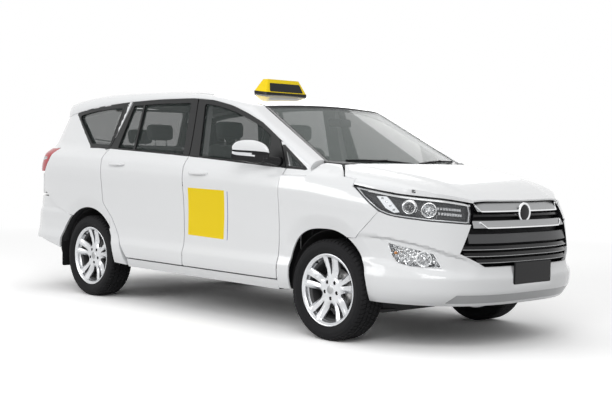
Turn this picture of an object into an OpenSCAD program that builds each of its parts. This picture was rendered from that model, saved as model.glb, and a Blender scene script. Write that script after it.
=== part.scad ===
// Seven-seat taxi cab on a ladder frame. Millimetres, +X forward, +Y to the left, +Z up,
// with the origin on the ground under the middle of the body.

/* [Body] */
// Overall length of the body
body_l = 4780; // [4740:10:4820]
// Overall width of the body at its fullest
body_w = 1830; // [1810:5:1850]
// Fall of the roof from its middle to its edge
roof_crown = 38; // [30:1:46]
// Wheelbase
wheelbase = 2750; // [2740:5:2760]
// How far the middle of the wheelbase lies ahead of the body's middle
axle_shift = 25; // [15:1:35]
// Thickness of outer skins such as fenders and bumpers
skin_t = 10; // [6:1:12]
// Thickness of the roof with its lining
roof_t = 36; // [24:1:40]
// Thickness of the hood with its inner frame
hood_t = 22; // [16:1:26]

/* [Doors] */
// Thickness of a door below its glass
door_t = 55; // [46:1:58]
// Thickness of a door's window frame
door_frame_t = 30; // [24:1:34]
// Width of the frame seen round the glass
frame_w = 32; // [26:1:36]
// Shut gap between a moving panel and its neighbours
shut_gap = 9; // [8:0.5:10]
// Thickness of the window glass
glass_t = 5; // [4:0.5:6]
// Diameter of a door hinge pin
hinge_pin_d = 8; // [6:0.5:9]

/* [Wheels] */
// Outer diameter of a tyre
tyre_d = 656; // [640:2:660]
// Width of a tyre
tyre_w = 215; // [205:1:216]
// Diameter of the rim's flange
rim_d = 470; // [460:2:474]
// Distance between the middles of the two wheels on an axle
track = 1540; // [1530:2:1544]
// Diameter of the wheel spindles
spindle_d = 40; // [34:1:44]
// Radius of the front wheel arches
front_arch_r = 342; // [338:1:350]
// Radius of the rear wheel arches
rear_arch_r = 385; // [376:1:388]

/* [Hidden] */
SIDES = [["left", 1], ["right", -1]];

// The pieces' points are given for this body length, width, wheelbase, track and axle shift,
// and fitted() then draws the pieces out or in to the sizes asked for
DRAWN = [4780, 1830, 2750, 1540, 25];
half_l = DRAWN[0] / 2;
half_w = DRAWN[1] / 2;
front_x = DRAWN[2] / 2 + DRAWN[4];
rear_x = DRAWN[4] - DRAWN[2] / 2;
axle_z = tyre_d / 2;
half_track = DRAWN[3] / 2;
// Clearance between pieces that are bolted or glued together
seam = 0.4;
// Radial clearance of a spindle or pin in its bore
run_gap = 0.15;
white = "#f2f3f4";
black = "#242526";
grey = "#55585c";
silver = "#b9bcc0";

// Body surface
// Each table lists [position, value] pairs that lookup() joins with straight lines.
// Height of the shoulder against x
SHOULDER = [[-2390, 1215], [-1350, 1195], [-90, 1155], [960, 1092], [1230, 1075], [1577, 1032],
    [2000, 965], [2250, 900], [2390, 860]];
// Rise of the hood's middle above the shoulder against x
HOOD_RISE = [[1230, 95], [1365, 97], [1577, 100], [1800, 98], [2000, 88], [2150, 68], [2262, 45],
    [2390, 20]];
// Reach of the nose from the middle of the car against z
NOSE = [[230, 2290], [300, 2345], [370, 2384], [450, 2390], [530, 2378], [610, 2368], [790, 2335],
    [863, 2312], [933, 2270], [960, 2240], [1100, 2190]];
// Reach of the tail from the middle of the car against z
TAIL = [[230, 2300], [300, 2360], [450, 2390], [600, 2385], [750, 2362], [900, 2340], [1010, 2330],
    [1200, 2275], [1400, 2180], [1600, 2085], [1700, 2030]];
// How far the side stands in from the full width, against z below the waist
LOW_INSET = [[230, 60], [290, 36], [340, 17], [400, 6], [450, 4], [480, 11], [520, 22], [600, 27]];
// How far the side stands in, against the share of the way from the waist to the shoulder
HIGH_INSET = [[0, 27], [0.25, 23], [0.5, 13], [0.68, 3], [0.74, 2], [0.82, 7], [0.9, 17],
    [0.96, 30], [1, 46]];
// Height of the roof's middle against x
ROOF = [[-2090, 1612], [-1800, 1655], [-1400, 1687], [-900, 1697], [-400, 1686], [0, 1657],
    [250, 1620], [527, 1560], [700, 1510]];
// Top edge of the side windows, [x, z]
RAIL = [[-2100, 1450], [-1792, 1501], [-1500, 1545], [-960, 1584], [-500, 1598], [-162, 1596],
    [60, 1577], [281, 1535], [460, 1480], [630, 1417], [891, 1272], [1204, 1086], [1300, 1030]];
// Bottom edge of the side windows, [x, z]
BELT = [[-1424, 1215], [-105, 1162], [1204, 1086]];

waist_z = 600;
sill_z = 290;
nose_p = 6.5;
nose_q = 3;
tail_p = 16;
tail_q = 4.5;
green_w = half_w - 62;
green_z = 1150;
tumble = 0.285;
roof_edge_y = 590;
screen_x0 = 1375;
screen_z0 = 1135;
screen_rake = 2.01;
screen_bow = 0.000295;

function unit(v) = min(1, max(0, v));
function smooth(v) = let (u = unit(v)) u * u * (3 - 2 * u);
function mix(a, b, t) = a + (b - a) * t;
function span(a, b, n) = [for (i = [0 : n]) mix(a, b, i / n)];
function shoulder_z(x) = lookup(x, SHOULDER);
function rail_z(x) = lookup(x, RAIL);
function belt_z(x) = lookup(x, BELT);
function inset(x, z) = z < waist_z ? lookup(z, LOW_INSET)
    : lookup(unit((z - waist_z) / (shoulder_z(x) - waist_z)), HIGH_INSET);
function nose_reach(z) = lookup(z, NOSE);
function tail_reach(z) = lookup(z, TAIL);
function plan(x, z) = x > 0 ? pow(1 - pow(unit(x / nose_reach(z)), nose_p), 1 / nose_q)
    : pow(1 - pow(unit(-x / tail_reach(z)), tail_p), 1 / tail_q);
function green_half(x, z) = (green_w - (z - green_z) * tumble)
    * (x > 0 ? 1 - 0.06 * pow(unit(x / 1300), 2.2) : 1 - 0.05 * pow(unit(-x / 2100), 3));
function half_at(x, z) = mix(half_w - inset(x, z), green_half(x, z),
    smooth((z - shoulder_z(x) + 70) / 110));
function body_y(x, z) = half_at(x, z) * plan(x, z);
function green_y(x, z) = green_half(x, z) * plan(x, z);
// Points of the nose and the tail at the share s of the half width
function nose_at(s, z) = let (x = nose_reach(z) * pow(1 - pow(abs(s), nose_q), 1 / nose_p))
    [x, (half_w - inset(x, z)) * s, z];
function tail_at(s, z) = let (x = -tail_reach(z) * pow(1 - pow(abs(s), tail_q), 1 / tail_p))
    [x, half_at(x, z) * s, z];
// The same points moved inward by t along the plan's normal
function inward(p, t, reach, pp, qq) = let (nx = pp / reach * pow(unit(abs(p[0]) / reach), pp - 1),
    ny = qq / half_w * pow(unit(abs(p[1]) / half_w), qq - 1), m = t / norm([nx, ny]))
    [p[0] - sign(p[0]) * nx * m, p[1] - sign(p[1]) * ny * m, p[2]];
function nose_in(p, t) = inward(p, t, nose_reach(p[2]), nose_p, nose_q);
function tail_in(p, t) = inward(p, t, tail_reach(p[2]), tail_p, tail_q);
function hood_z(x, y) = let (zs = shoulder_z(x), ye = body_y(x, zs - 70) * 0.952)
    zs + lookup(x, HOOD_RISE) * pow(1 - pow(unit(abs(y) / ye), 3), 1 / 3);
function roof_z(x, y) = lookup(x, ROOF) - roof_crown * pow(y / 600, 2);
function roof_front_x(y) = 527 - 72 * pow(y / 596, 2);
function screen_x(y, z) = screen_x0 - (z - screen_z0) * screen_rake - screen_bow * y * y;

// Half length of the part of the body that moves with a wheel without changing its shape
wheel_zone = 434;
// Half width of the frame between the wheels, which the track draws out or in
frame_zone = 600;
// Room beyond the body's sides that holds the mirrors
mirror_zone = 400;
track_move = track / 2 - half_track;
front_move = wheelbase / 2 + axle_shift - front_x;
rear_move = axle_shift - wheelbase / 2 - rear_x;
// Places as drawn and as asked for, [drawn, asked]
LENGTH_FIT = [[-half_l, -body_l / 2], [rear_x - wheel_zone, rear_x - wheel_zone + rear_move],
    [rear_x + wheel_zone, rear_x + wheel_zone + rear_move],
    [front_x - wheel_zone, front_x - wheel_zone + front_move],
    [front_x + wheel_zone, front_x + wheel_zone + front_move], [half_l, body_l / 2]];
BODY_FIT = both_ways([[frame_zone, frame_zone + track_move], [half_w, body_w / 2],
    [half_w + mirror_zone, body_w / 2 + mirror_zone]]);
WHEEL_FIT = both_ways([[frame_zone, frame_zone + track_move],
    [half_w + mirror_zone, half_w + mirror_zone + track_move]]);
as_drawn = DRAWN == [body_l, body_w, wheelbase, track, axle_shift];

function reversed(v) = [for (i = [len(v) - 1 : -1 : 0]) v[i]];
function both_ways(v) = concat([for (p = reversed(v)) -p], v);

// Draws its child out or in, zone by zone, to the length and the width asked for
module fitted(width_fit) {
    if (as_drawn) children();
    else
        for (i = [1 : len(LENGTH_FIT) - 1], j = [1 : len(width_fit) - 1]) {
            a = [LENGTH_FIT[i - 1][0], width_fit[j - 1][0], -half_l];
            b = [LENGTH_FIT[i][0], width_fit[j][0], half_l];
            to = [LENGTH_FIT[i - 1][1], width_fit[j - 1][1], 0];
            k = [(LENGTH_FIT[i][1] - to[0]) / (b[0] - a[0]),
                (width_fit[j][1] - to[1]) / (b[1] - a[1]), 1];
            translate(to) scale(k) translate([-a[0], -a[1], 0]) intersection() {
                children();
                box(a, b);
            }
        }
}

// A closed slab between two grids of points, rows by columns. Rows run up and columns to
// the left as seen from outside.
module slab(outer, inner) {
    nr = len(outer);
    nc = len(outer[0]);
    n = nr * nc;
    pts = concat([for (r = outer, p = r) p], [for (r = inner, p = r) p]);
    cells = [for (i = [0 : nr - 2], j = [0 : nc - 2]) i * nc + j];
    out = [for (a = cells) each [[a, a + 1, a + nc + 1], [a, a + nc + 1, a + nc]]];
    inn = [for (t = out) [t[2] + n, t[1] + n, t[0] + n]];
    ring = concat([for (j = [0 : nc - 2]) j], [for (i = [0 : nr - 2]) i * nc + nc - 1],
        [for (j = [nc - 1 : -1 : 1]) (nr - 1) * nc + j], [for (i = [nr - 1 : -1 : 1]) i * nc]);
    m = len(ring);
    rim = [for (k = [0 : m - 1]) let (a = ring[k], b = ring[(k + 1) % m])
        each [[b, a, a + n], [b, a + n, b + n]]];
    polyhedron(pts, concat(out, inn, rim));
}

// Mirrors its child to the right when s is -1
module on_side(s) {
    if (s > 0) children();
    else mirror([0, 1, 0]) children();
}

// Both sides at once
module both() {
    children();
    mirror([0, 1, 0]) children();
}

// A prism along Y through the points [x, z], between y0 and y1
module side_prism(points, y0, y1) {
    translate([0, y1, 0]) rotate([90, 0, 0]) linear_extrude(y1 - y0) polygon(points);
}

// A prism along X through the points [y, z], between x0 and x1
module front_prism(points, x0, x1) {
    translate([x0, 0, 0]) rotate([90, 0, 90]) linear_extrude(x1 - x0) polygon(points);
}

// A cylinder along Y round [x, z], between y0 and y1
module cross_cylinder(x, z, r, y0, y1) {
    translate([x, y0, z]) rotate([-90, 0, 0]) cylinder(r = r, h = y1 - y0, $fn = 96);
}

// A box between two corners
module box(a, b) {
    translate(a) cube(b - a);
}

// Side panels
// Edge tables, [z, x]: where a door ends at each height
FRONT_DOOR_FRONT = [[300, 962], [360, 962], [1092, 969], [1300, 850], [1420, 640]];
B_LINE = [[300, -67], [360, -67], [1163, -80], [1620, -134]];
REAR_DOOR_REAR = [[363, -792], [490, -888], [656, -1007], [775, -1135], [1182, -1149],
    [1620, -951]];
door_z0 = 362;
HINGE_Z = [440, 960];
hinge_back = 40;
hinge_y = half_w - 19.5;
front_hinge_x = lookup(HINGE_Z[0], FRONT_DOOR_FRONT) - shut_gap / 2 - hinge_back;
rear_hinge_x = lookup(HINGE_Z[0], B_LINE) - shut_gap / 2 - hinge_back;
pocket_h = 32;
strap_h = 12;

function wall_t(z) = mix(door_t, door_frame_t, unit((z - 1060) / 70));
SIDE_ROWS = [320, 400, 450, 485, 520, 600, 700, 800, 880, 930, 985, 1030, 1070, 1110, 1150, 1190,
    1240, 1400, 1500, 1620];

// Slab of the side wall between x0 and x1 and between two heights
module side_slab(x0, x1, z0, z1, nx, t) {
    zs = [for (z = concat([z0], [for (r = SIDE_ROWS) if (r > z0 + 5 && r < z1 - 5) r], [z1])) z];
    grid = [for (z = zs) [for (x = span(x0, x1, nx)) [x, body_y(x, z), z]]];
    slab(grid, [for (r = grid) [for (p = r) [p[0], p[1] - (t > 0 ? t : wall_t(p[2])), p[2]]]]);
}

// Outline of a window between a rear and a front edge line, each [x at belt, x at rail],
// inset by c and standing w clear of the belt and the rail
function window_outline(rear, front, c, w, n) = concat(
    [for (x = [front[0] - c, rear[0] + c]) [x, belt_z(x) + 14 + c]],
    [for (x = span(rear[1] + c, front[1] - c, n)) [x, rail_z(x) - w - c]]);
FRONT_GLASS = [[36, -40], [778, 760]];
REAR_GLASS = [[-1028, -941], [-156, -211]];
DIVIDER = [-797, -808];
divider_w = 22;
divider_half = [divider_w / 2, divider_w / 2];

module hinge_pockets(x) {
    for (z = HINGE_Z)
        box([x - 17, hinge_y - 60, z - pocket_h / 2], [x + 62, hinge_y + 10.5, z + pocket_h / 2]);
}

module hinge_pins(x) {
    for (z = HINGE_Z)
        translate([x, hinge_y, z - pocket_h / 2 - 12])
            cylinder(d = hinge_pin_d, h = pocket_h + 24, $fn = 48);
}

// Pull handle of a door with its grip standing off the skin
module handle(x, z) {
    y = body_y(x, z);
    translate([x, y - 4, z]) rotate([0, -2, 0]) {
        translate([0, 26, 0]) rotate([0, 90, 0])
            translate([0, 0, -92]) linear_extrude(184) polygon([[-11, -5], [-6, 5], [6, 5],
                [11, -5]]);
        for (e = [-92, 68]) translate([e, -4, -9]) cube([24, 30, 18]);
    }
}

FRONT_HANDLE = [103, 1046];
REAR_HANDLE = [-925, 1088];

module door_front(s) {
    g = shut_gap / 2;
    color(white) on_side(s) difference() {
        union() {
            difference() {
                intersection() {
                    side_slab(-150, 975, door_z0, 1612, 8, 0);
                    side_prism(concat([for (z = [door_z0 - 9, 1100, 1300]) [edge_x(B_LINE, z) + g,
                        z]], [[edge_x(B_LINE, 1590) + g + 2, rail_z(-129)]],
                        [for (x = [60, 281, 460, 630, 840]) [x, rail_z(x)]],
                        [for (z = [1290, 1100, door_z0 - 9]) [edge_x(FRONT_DOOR_FRONT, z) - g, z]]),
                        500, 1000);
                }
                side_prism(window_outline(FRONT_GLASS[0], FRONT_GLASS[1], 0, frame_w, 6), 500, 1000);
                hinge_pockets(front_hinge_x);
            }
            hinge_pins(front_hinge_x);
            handle(FRONT_HANDLE[0], FRONT_HANDLE[1]);
        }
    }
}

function edge_x(table, z) = lookup(z, table);

module door_rear(s) {
    g = shut_gap / 2;
    color(white) on_side(s) union() {
        difference() {
            intersection() {
                side_slab(-1160, -60, door_z0, 1612, 8, 0);
                side_prism(concat([for (z = [door_z0 + 1, 490, 656, 775, 1182])
                    [edge_x(REAR_DOOR_REAR, z) + g + seam, z]],
                    [[edge_x(REAR_DOOR_REAR, rail_z(-970)) + g, rail_z(-970)]],
                    [for (x = [-700, -500, -300, -162]) [x, rail_z(x)]],
                    [for (z = [1585, 1163, door_z0 + 1]) [edge_x(B_LINE, z) - g - 1, z]]), 500, 1000);
            }
            side_prism(window_outline(REAR_GLASS[0], DIVIDER - divider_half, 0, frame_w, 2),
                500, 1000);
            side_prism(window_outline(DIVIDER + divider_half, REAR_GLASS[1], 0, frame_w, 4),
                500, 1000);
            hinge_pockets(rear_hinge_x);
        }
        hinge_pins(rear_hinge_x);
        handle(REAR_HANDLE[0], REAR_HANDLE[1]);
    }
}

glass_back = 12;

// Pane on the greenhouse surface, cut to a window's outline
module pane(rear, front, n) {
    x0 = min(rear[0], rear[1]) - 5;
    x1 = max(front[0], front[1]) + 5;
    grid = [for (z = span(1080, 1610, 5)) [for (x = span(x0, x1, 5))
        [x, body_y(x, z) - glass_back, z]]];
    intersection() {
        slab(grid, [for (r = grid) [for (p = r) [p[0], p[1] - glass_t, p[2]]]]);
        side_prism(window_outline(rear, front, seam, frame_w, n), 500, 1000);
    }
}

module glass_front(s) {
    color("#7f8c8a", 0.6) on_side(s) pane(FRONT_GLASS[0], FRONT_GLASS[1], 6);
}

module glass_rear(s) {
    color("#7f8c8a", 0.6) on_side(s) {
        pane(REAR_GLASS[0], DIVIDER - divider_half, 2);
        pane(DIVIDER + divider_half, REAR_GLASS[1], 4);
    }
}

// Body side: sill, pillars, rear quarter and the rail over the doors
QUARTER_WINDOW = [[-1735, 1478], [-1418, 1245], [-1152, 1236], [-1090, 1543], [-1300, 1529],
    [-1500, 1513]];
FRONT_QUARTER = [[988, 1120], [1118, 1112], [930, 1220]];
rail_t = 45;
b_out = 814;

// Arc from the rail to the roof's edge or the windscreen's edge at x, t from 0 to 1
function pillar_top(x) = x < 455 ? [roof_edge_y, roof_z(x, roof_edge_y)]
    : [roof_edge_y + 6 + (x - 455) * 0.1434, 1540 - (x - 455) * 0.5158];
function pillar_at(x, a, t) = let (z0 = rail_z(x) + 4, y0 = body_y(x, z0), e = pillar_top(x),
    c = pow(cos(a), 0.9), d = pow(sin(a), 0.9))
    [x, e[0] + (y0 - e[0]) * c - t * cos(a), z0 + (e[1] - z0) * d - t * sin(a)];

module cantrail() {
    xs = [-1941, -1700, -1400, -1000, -600, -200, 60, 280, 455, 640, 820, 1000, 1185];
    as = [0, 22, 45, 68, 90];
    slab([for (a = as) [for (x = concat([xs[0] - 60 * cos(a)], xs)) pillar_at(x, a, 0)]],
        [for (a = as) [for (x = concat([xs[0] - 60 * cos(a)], xs)) pillar_at(x, a, rail_t)]]);
}

module pillar_slice(x0, x1, y0, y1, z) {
    translate([x0, y0, z]) cube([x1 - x0, y1 - y0, 1]);
}

// The gooseneck strap of a door hinge, from the bore back to y, then forward to x1
module hinge_strap(x, y, x1) {
    for (z = HINGE_Z) translate([0, 0, z - strap_h / 2]) {
        translate([x, hinge_y, 0]) cylinder(r = 9, h = strap_h, $fn = 48);
        box([x - 7, y, 0], [x + 7, hinge_y, strap_h]);
        box([x - 7, y, 0], [x1, y + 12, strap_h]);
    }
}

module quarter_wall() {
    xs = [-1450, -1300, -1150, -1010, -900, -780];
    tails = [0.953, 0.935, 0.91, 0.88, 0.84, 0.79];
    grid = [for (z = concat([sill_z - 20], SIDE_ROWS)) [for (x = concat([for (c = tails)
        -c * tail_reach(z)], xs)) [x, body_y(x, z), z]]];
    slab(grid, [for (r = grid) [for (p = r) tail_in(p, p[2] > 1130 ? 40 : 58)]]);
}

module quarter_panel(s) {
    g = shut_gap / 2;
    color(white) on_side(s) difference() {
        intersection() {
            quarter_wall();
            side_prism(concat([for (z = [sill_z, 363, 490, 656, 775, 1182])
                [edge_x(REAR_DOOR_REAR, z) - g, z]],
                [[edge_x(REAR_DOOR_REAR, 1575) - g, rail_z(-990) + 2]],
                [for (x = [-1000, -1400, -1700, -1960, -2020]) [x, rail_z(x) + 3]],
                [[-2300, 1440], [-2300, 1205], [-1892, 1205], [-2034, 1000],
                [-2058, 850], [-1850, 720], [-1690, 665], [-1500, sill_z]]), 300, 1000);
        }
        side_prism(QUARTER_WINDOW, 500, 1000);
        cross_cylinder(rear_x, axle_z, rear_arch_r, 300, 1000);
        gate_space();
    }
}

module side_frame(s) {
    color(white) on_side(s) difference() {
        union() {
            cantrail();
            side_slab(-780, 966, sill_z, door_z0 - shut_gap, 6, 110);
            box([900, 770, sill_z + 2], [1045, 840, 340]);
            hull() {
                pillar_slice(-165, -20, 780, b_out, 300);
                pillar_slice(-165, -20, 752, b_out, 1010);
            }
            hull() {
                pillar_slice(-165, -20, 752, b_out, 1005);
                pillar_slice(-170, -25, 720, 788, 1120);
            }
            hull() {
                pillar_slice(-170, -25, 720, 788, 1115);
                pillar_slice(-200, -70, 630, 674, 1618);
            }
            hull() {
                pillar_slice(985, 1050, 765, 846, 310);
                pillar_slice(985, 1050, 765, 832, 1085);
            }
            box([1045, 768, 960], [1160, 800, 1110]);
            hinge_strap(front_hinge_x, 822, 990);
            hinge_strap(rear_hinge_x, 800, rear_hinge_x + 7);
            cowl_side();
        }
        for (z = HINGE_Z, x = [front_hinge_x, rear_hinge_x])
            translate([x, hinge_y, z - strap_h])
                cylinder(d = hinge_pin_d + 2 * run_gap, h = 2 * strap_h, $fn = 48);
        cross_cylinder(front_x, axle_z, rear_arch_r + 8, 300, 1000);
        gate_space();
    }
}

// Wall round the small fixed window ahead of the front door
module cowl_side() {
    difference() {
        intersection() {
            side_slab(860, 1215, 1063, 1300, 4, 34);
            side_prism([[975, 1050], [977, 1100], [864, 1284], [891, rail_z(891) + 3],
                [1194, rail_z(1194) + 3], [1194, 1050]], 500, 1000);
        }
        side_prism(FRONT_QUARTER, 500, 1000);
    }
}

module quarter_glass() {
    color("#7f8c8a", 0.6) both() {
        intersection() {
            grid = [for (z = span(1200, 1560, 4)) [for (x = span(-1760, -1080, 4))
                [x, body_y(x, z) - glass_back, z]]];
            slab(grid, [for (r = grid) [for (p = r) [p[0], p[1] - glass_t, p[2]]]]);
            side_prism(QUARTER_WINDOW, 500, 1000);
        }
        intersection() {
            grid = [for (z = [1100, 1240]) [for (x = [920, 1130])
                [x, body_y(x, z) - glass_back, z]]];
            slab(grid, [for (r = grid) [for (p = r) [p[0], p[1] - glass_t, p[2]]]]);
            side_prism(FRONT_QUARTER, 500, 1000);
        }
    }
}

// The roof ends a gap ahead of the tailgate's top
function roof_rear_x(y) = tail_at(y / half_at(-2000, TAILGATE_Z[1]), TAILGATE_Z[1])[0] + gate_t
    + shut_gap;

module roof() {
    ys = [for (u = [-1, -0.75, -0.5, -0.25, 0, 0.25, 0.5, 0.75, 1]) -u * (roof_edge_y - seam)];
    rows = [for (v = span(0, 1, 10)) [for (y = ys) let (x = mix(roof_front_x(y), roof_rear_x(y), v))
        [x, y, roof_z(x, y)]]];
    color(white) slab(rows, [for (r = rows) [for (p = r) [p[0], p[1], p[2] - roof_t]]]);
    color(white) both() {
        x = gate_hinge[0];
        z = gate_hinge[1];
        box([x, 368, z - 8], [x + 40, 376, z + 8]);
        cross_cylinder(x, z, 10, 368, 376);
        cross_cylinder(x, z, 5, 348, 370);
    }
}

function fender_top_y(x) = lookup(x, [[960, 868], [1195, 850], [1230, 716], [1345, 703],
    [1505, 842], [1600, 856], [1900, 880]]);
FENDER_SHARES = [0.25, 0.5, 0.68, 0.74, 0.82, 0.9, 0.96, 1];

fender_low_top = 1062;

// Half section of the fender at x, from the sill up and over to the hood's edge
function fender_section(x, t) = let (k = smooth((x - 1195) / 30),
    zs = mix(fender_low_top, shoulder_z(x), k), yw = body_y(x, fender_low_top - 60),
    ye = mix(yw - 6, body_y(x, shoulder_z(x) - 70) * 0.952, k),
    yt = mix(ye - 20, min(fender_top_y(x) + shut_gap / 2, ye - 2), k))
    concat([for (z = [sill_z, 340, 400, 450, 485, 520, 600])
        [x, (half_w - inset(x, z)) * plan(x, z) - t, z]],
    [for (h = FENDER_SHARES) let (z = mix(waist_z, zs, h))
        [x, (half_w - inset(x, z)) * plan(x, z) - t, z]],
    [for (h = [0.3, 0.6, 1]) let (y = mix(ye, yt, h))
        [x, y - t * (1 - h), mix(fender_low_top + h, hood_z(x, y), k) - t * h]]);

module fender(s) {
    xs = [966.5 + seam, 1040, 1120, 1190, 1225, 1280, 1345, 1425, 1505, 1600, 1700, 1820];
    sections = [for (x = xs) fender_section(x, 0)];
    inner = [for (x = xs) fender_section(x, skin_t)];
    rows = len(sections[0]);
    color(white) on_side(s) difference() {
        slab([for (i = [0 : rows - 1]) [for (p = sections) p[i]]],
            [for (i = [0 : rows - 1]) [for (p = inner) p[i]]]);
        side_prism([[1300, 200], [1600, 640], [1600, 664], LAMP_CUT[0], LAMP_CUT[1],
            [1600, 1300], [2000, 1300], [2000, 200]], 500, 1000);
        cross_cylinder(front_x, axle_z, front_arch_r, 300, 1000);
    }
}

// Front end
// Upper and lower edges of a headlamp, [share of the half width, z]
LAMP_TOP = [[0.512, 910], [0.68, 935], [0.856, 957], [0.93, 985], [0.959, 1003]];
LAMP_LOW = [[0.578, 794], [0.785, 809], [0.863, 821], [0.904, 832], [0.926, 858], [0.959, 1000]];
// The joint of fender and headlamp in side view, [x, z]
LAMP_CUT = [[1812, 857], [1597, 1008]];
GRILLE_OUTLINE = [[434, 932], [579, 616], [432, 537], [-432, 537], [-579, 616], [-434, 932]];
FOG_OUTLINE = [[664, 526], [790, 532], [832, 600], [820, 668], [744, 622], [690, 612]];
BUMPER_SHARES = [0, 0.18, 0.35, 0.5, 0.58, 0.68, 0.785, 0.863, 0.904, 0.926, 0.955, 0.978];

module front_bumper() {
    cols = concat(reversed(BUMPER_SHARES), [for (i = [1 : len(BUMPER_SHARES) - 1])
        -BUMPER_SHARES[i]]);
    hs = [0, 0.08, 0.17, 0.27, 0.4, 0.55, 0.7, 0.85, 1];
    grid = [for (h = hs) [for (s = cols)
        nose_at(s, mix(292, abs(s) > 0.58 ? lookup(abs(s), LAMP_LOW) - seam : 793, h))]];
    color(white) difference() {
        slab(grid, [for (r = grid) [for (p = r) nose_in(p, 2 * skin_t)]]);
        both() cross_cylinder(front_x, axle_z, front_arch_r + 2 * seam, 300, 1000);
        both() side_prism([[1300, 200], [1600 + seam, 640], [1600 + seam, 664],
            [1812 + seam, 857], [1700, 1200], [1300, 1200]], 600, 1000);
        front_prism(GRILLE_OUTLINE, 1900, 2600);
        both() front_prism(FOG_OUTLINE, 1700, 2600);
    }
}

// Half width of the grille at height z
GRILLE_EDGE = [[537, 432], [616, 579], [932, 434]];
GRILLE_BARS = [[545, 12], [569, 14], [606, 14], [647, 14], [710, 56], [793, 38], [845, 14],
    [897, 54]];

// A bar that follows the nose at height z, h tall, between the grille's edges
module nose_bar(z, h, back, t) {
    y = min(lookup(z - h / 2, GRILLE_EDGE), lookup(z + h / 2, GRILLE_EDGE)) - seam;
    grid = [for (k = [-0.5, 0.5]) [for (c = span(1, -1, 10)) nose_in(nose_y(c * y, z + k * h),
        back)]];
    slab(grid, [for (r = grid) [for (p = r) [p[0] - t, p[1], p[2]]]]);
}

// Point of the nose at y and height z
function nose_y(y, z) = nose_at(y / (half_w - inset(2300, z)), z);

// An upright that joins the bars at y
module grille_rib(y) {
    line = [for (z = [541, 700, 800, 863, 926]) nose_y(abs(y), z)];
    side_prism(concat([for (p = line) [p[0] - 22, p[2]]],
        [for (i = [len(line) - 1 : -1 : 0]) [line[i][0] - 40, line[i][2]]]), y - 6, y + 6);
}

module grille() {
    color(black) union() {
        for (b = GRILLE_BARS) nose_bar(b[0], b[1], 6, 40);
        for (y = [-380, -190, 0, 190, 380]) grille_rib(y);
    }
}

module headlamp(s) {
    cols = [0.955, 0.943, 0.926, 0.904, 0.863, 0.825, 0.785, 0.72, 0.66, 0.585];
    hs = [0, 0.25, 0.5, 0.75, 1];
    grid = [for (h = hs) [for (c = cols) let (lo = lookup(c, LAMP_LOW) + seam,
        hi = lookup(c, LAMP_TOP) - seam) nose_at(c, mix(lo, hi, h))]];
    color("#aeb4b8") on_side(s) difference() {
        slab(grid, [for (r = grid) [for (p = r) nose_in(p, 60)]]);
        side_prism([[1400, 600], [LAMP_CUT[0][0] + seam, 600], LAMP_CUT[0] + [seam, seam],
            LAMP_CUT[1] + [seam, seam], [1400, 1008 + seam]], 500, 1000);
    }
}

module fog_lamps() {
    color("#aeb4b8") both() intersection() {
        cols = [0.925, 0.9, 0.87, 0.84, 0.8, 0.76, 0.72];
        grid = [for (z = span(520, 672, 3)) [for (c = cols) nose_in(nose_at(c, z), 8)]];
        slab(grid, [for (r = grid) [for (p = r) nose_in(p, 30)]]);
        translate([1700, 0, 0]) rotate([90, 0, 90]) linear_extrude(900) offset(delta = -seam)
            polygon(FOG_OUTLINE);
    }
}

// Plan outline of the hood's left half, [x, y], from the rear middle to the front middle
HOOD_OUTLINE = [[1445, 0], [1425, 350], [1362, 688], [1374, 698], [1505, 833], [1600, 848],
    [1760, 822], [1927, 760], [2090, 640], [2238, 445], [2262, 200], [2268, 0]];

// Depth of the hood, which thins toward its nose
function hood_depth(x) = mix(hood_t, skin_t, unit((x - 2120) / 110));

// Arm of the hood's hinge, down from the panel to the pin
module hood_arm() {
    x = hood_hinge[0];
    z = hood_hinge[1];
    top = hood_z(x + 70, 557) - hood_t + 6;
    difference() {
        union() {
            side_prism([[x - 8, z + 8], [x + 6, z - 9], [x + 90, top - 4], [x + 62, top]], 552, 562);
            cross_cylinder(x, z, 14, 552, 562);
        }
        cross_cylinder(x, z, 6 + run_gap, 540, 580);
    }
}

module hood() {
    ys = [-0.985, -0.95, -0.9, -0.8, -0.65, -0.45, -0.2, 0, 0.2, 0.45, 0.65, 0.8, 0.9, 0.95, 0.985];
    xs = [1340, 1420, 1505, 1600, 1720, 1850, 2000, 2120, 2200, 2250, 2290];
    grid = [for (x = [for (i = [len(xs) - 1 : -1 : 0]) xs[i]]) [for (v = ys)
        let (ye = body_y(x, shoulder_z(x) - 70) * 0.952) [x, -v * ye, hood_z(x, v * ye)]]];
    color(white) both() hood_arm();
    color(white) intersection() {
        slab(grid, [for (r = grid) [for (p = r) [p[0], p[1], p[2] - hood_depth(p[0])]]]);
        translate([0, 0, 700]) linear_extrude(700) polygon(concat(
            [for (p = HOOD_OUTLINE) [p[0], max(0, p[1] - shut_gap / 2)]],
            [for (i = [len(HOOD_OUTLINE) - 2 : -1 : 1]) [HOOD_OUTLINE[i][0],
            -HOOD_OUTLINE[i][1] + shut_gap / 2]]));
    }
}

module windscreen() {
    grid = [for (v = span(1, 0, 5)) [for (u = span(1, -1, 10)) let (yt = (roof_edge_y + 2) * u,
        yb = 702.7 * u, y = mix(yt, yb, v), zt = roof_z(roof_front_x(yt), yt) - 3,
        zb = 1126 + 25 * u * u, z = mix(zt, zb, v)) [screen_x(y, z) + 6, y, z]]];
    color("#7f8c8a", 0.6) slab(grid, [for (r = grid) [for (p = r) p - [3, 0, 5]]]);
}

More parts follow.
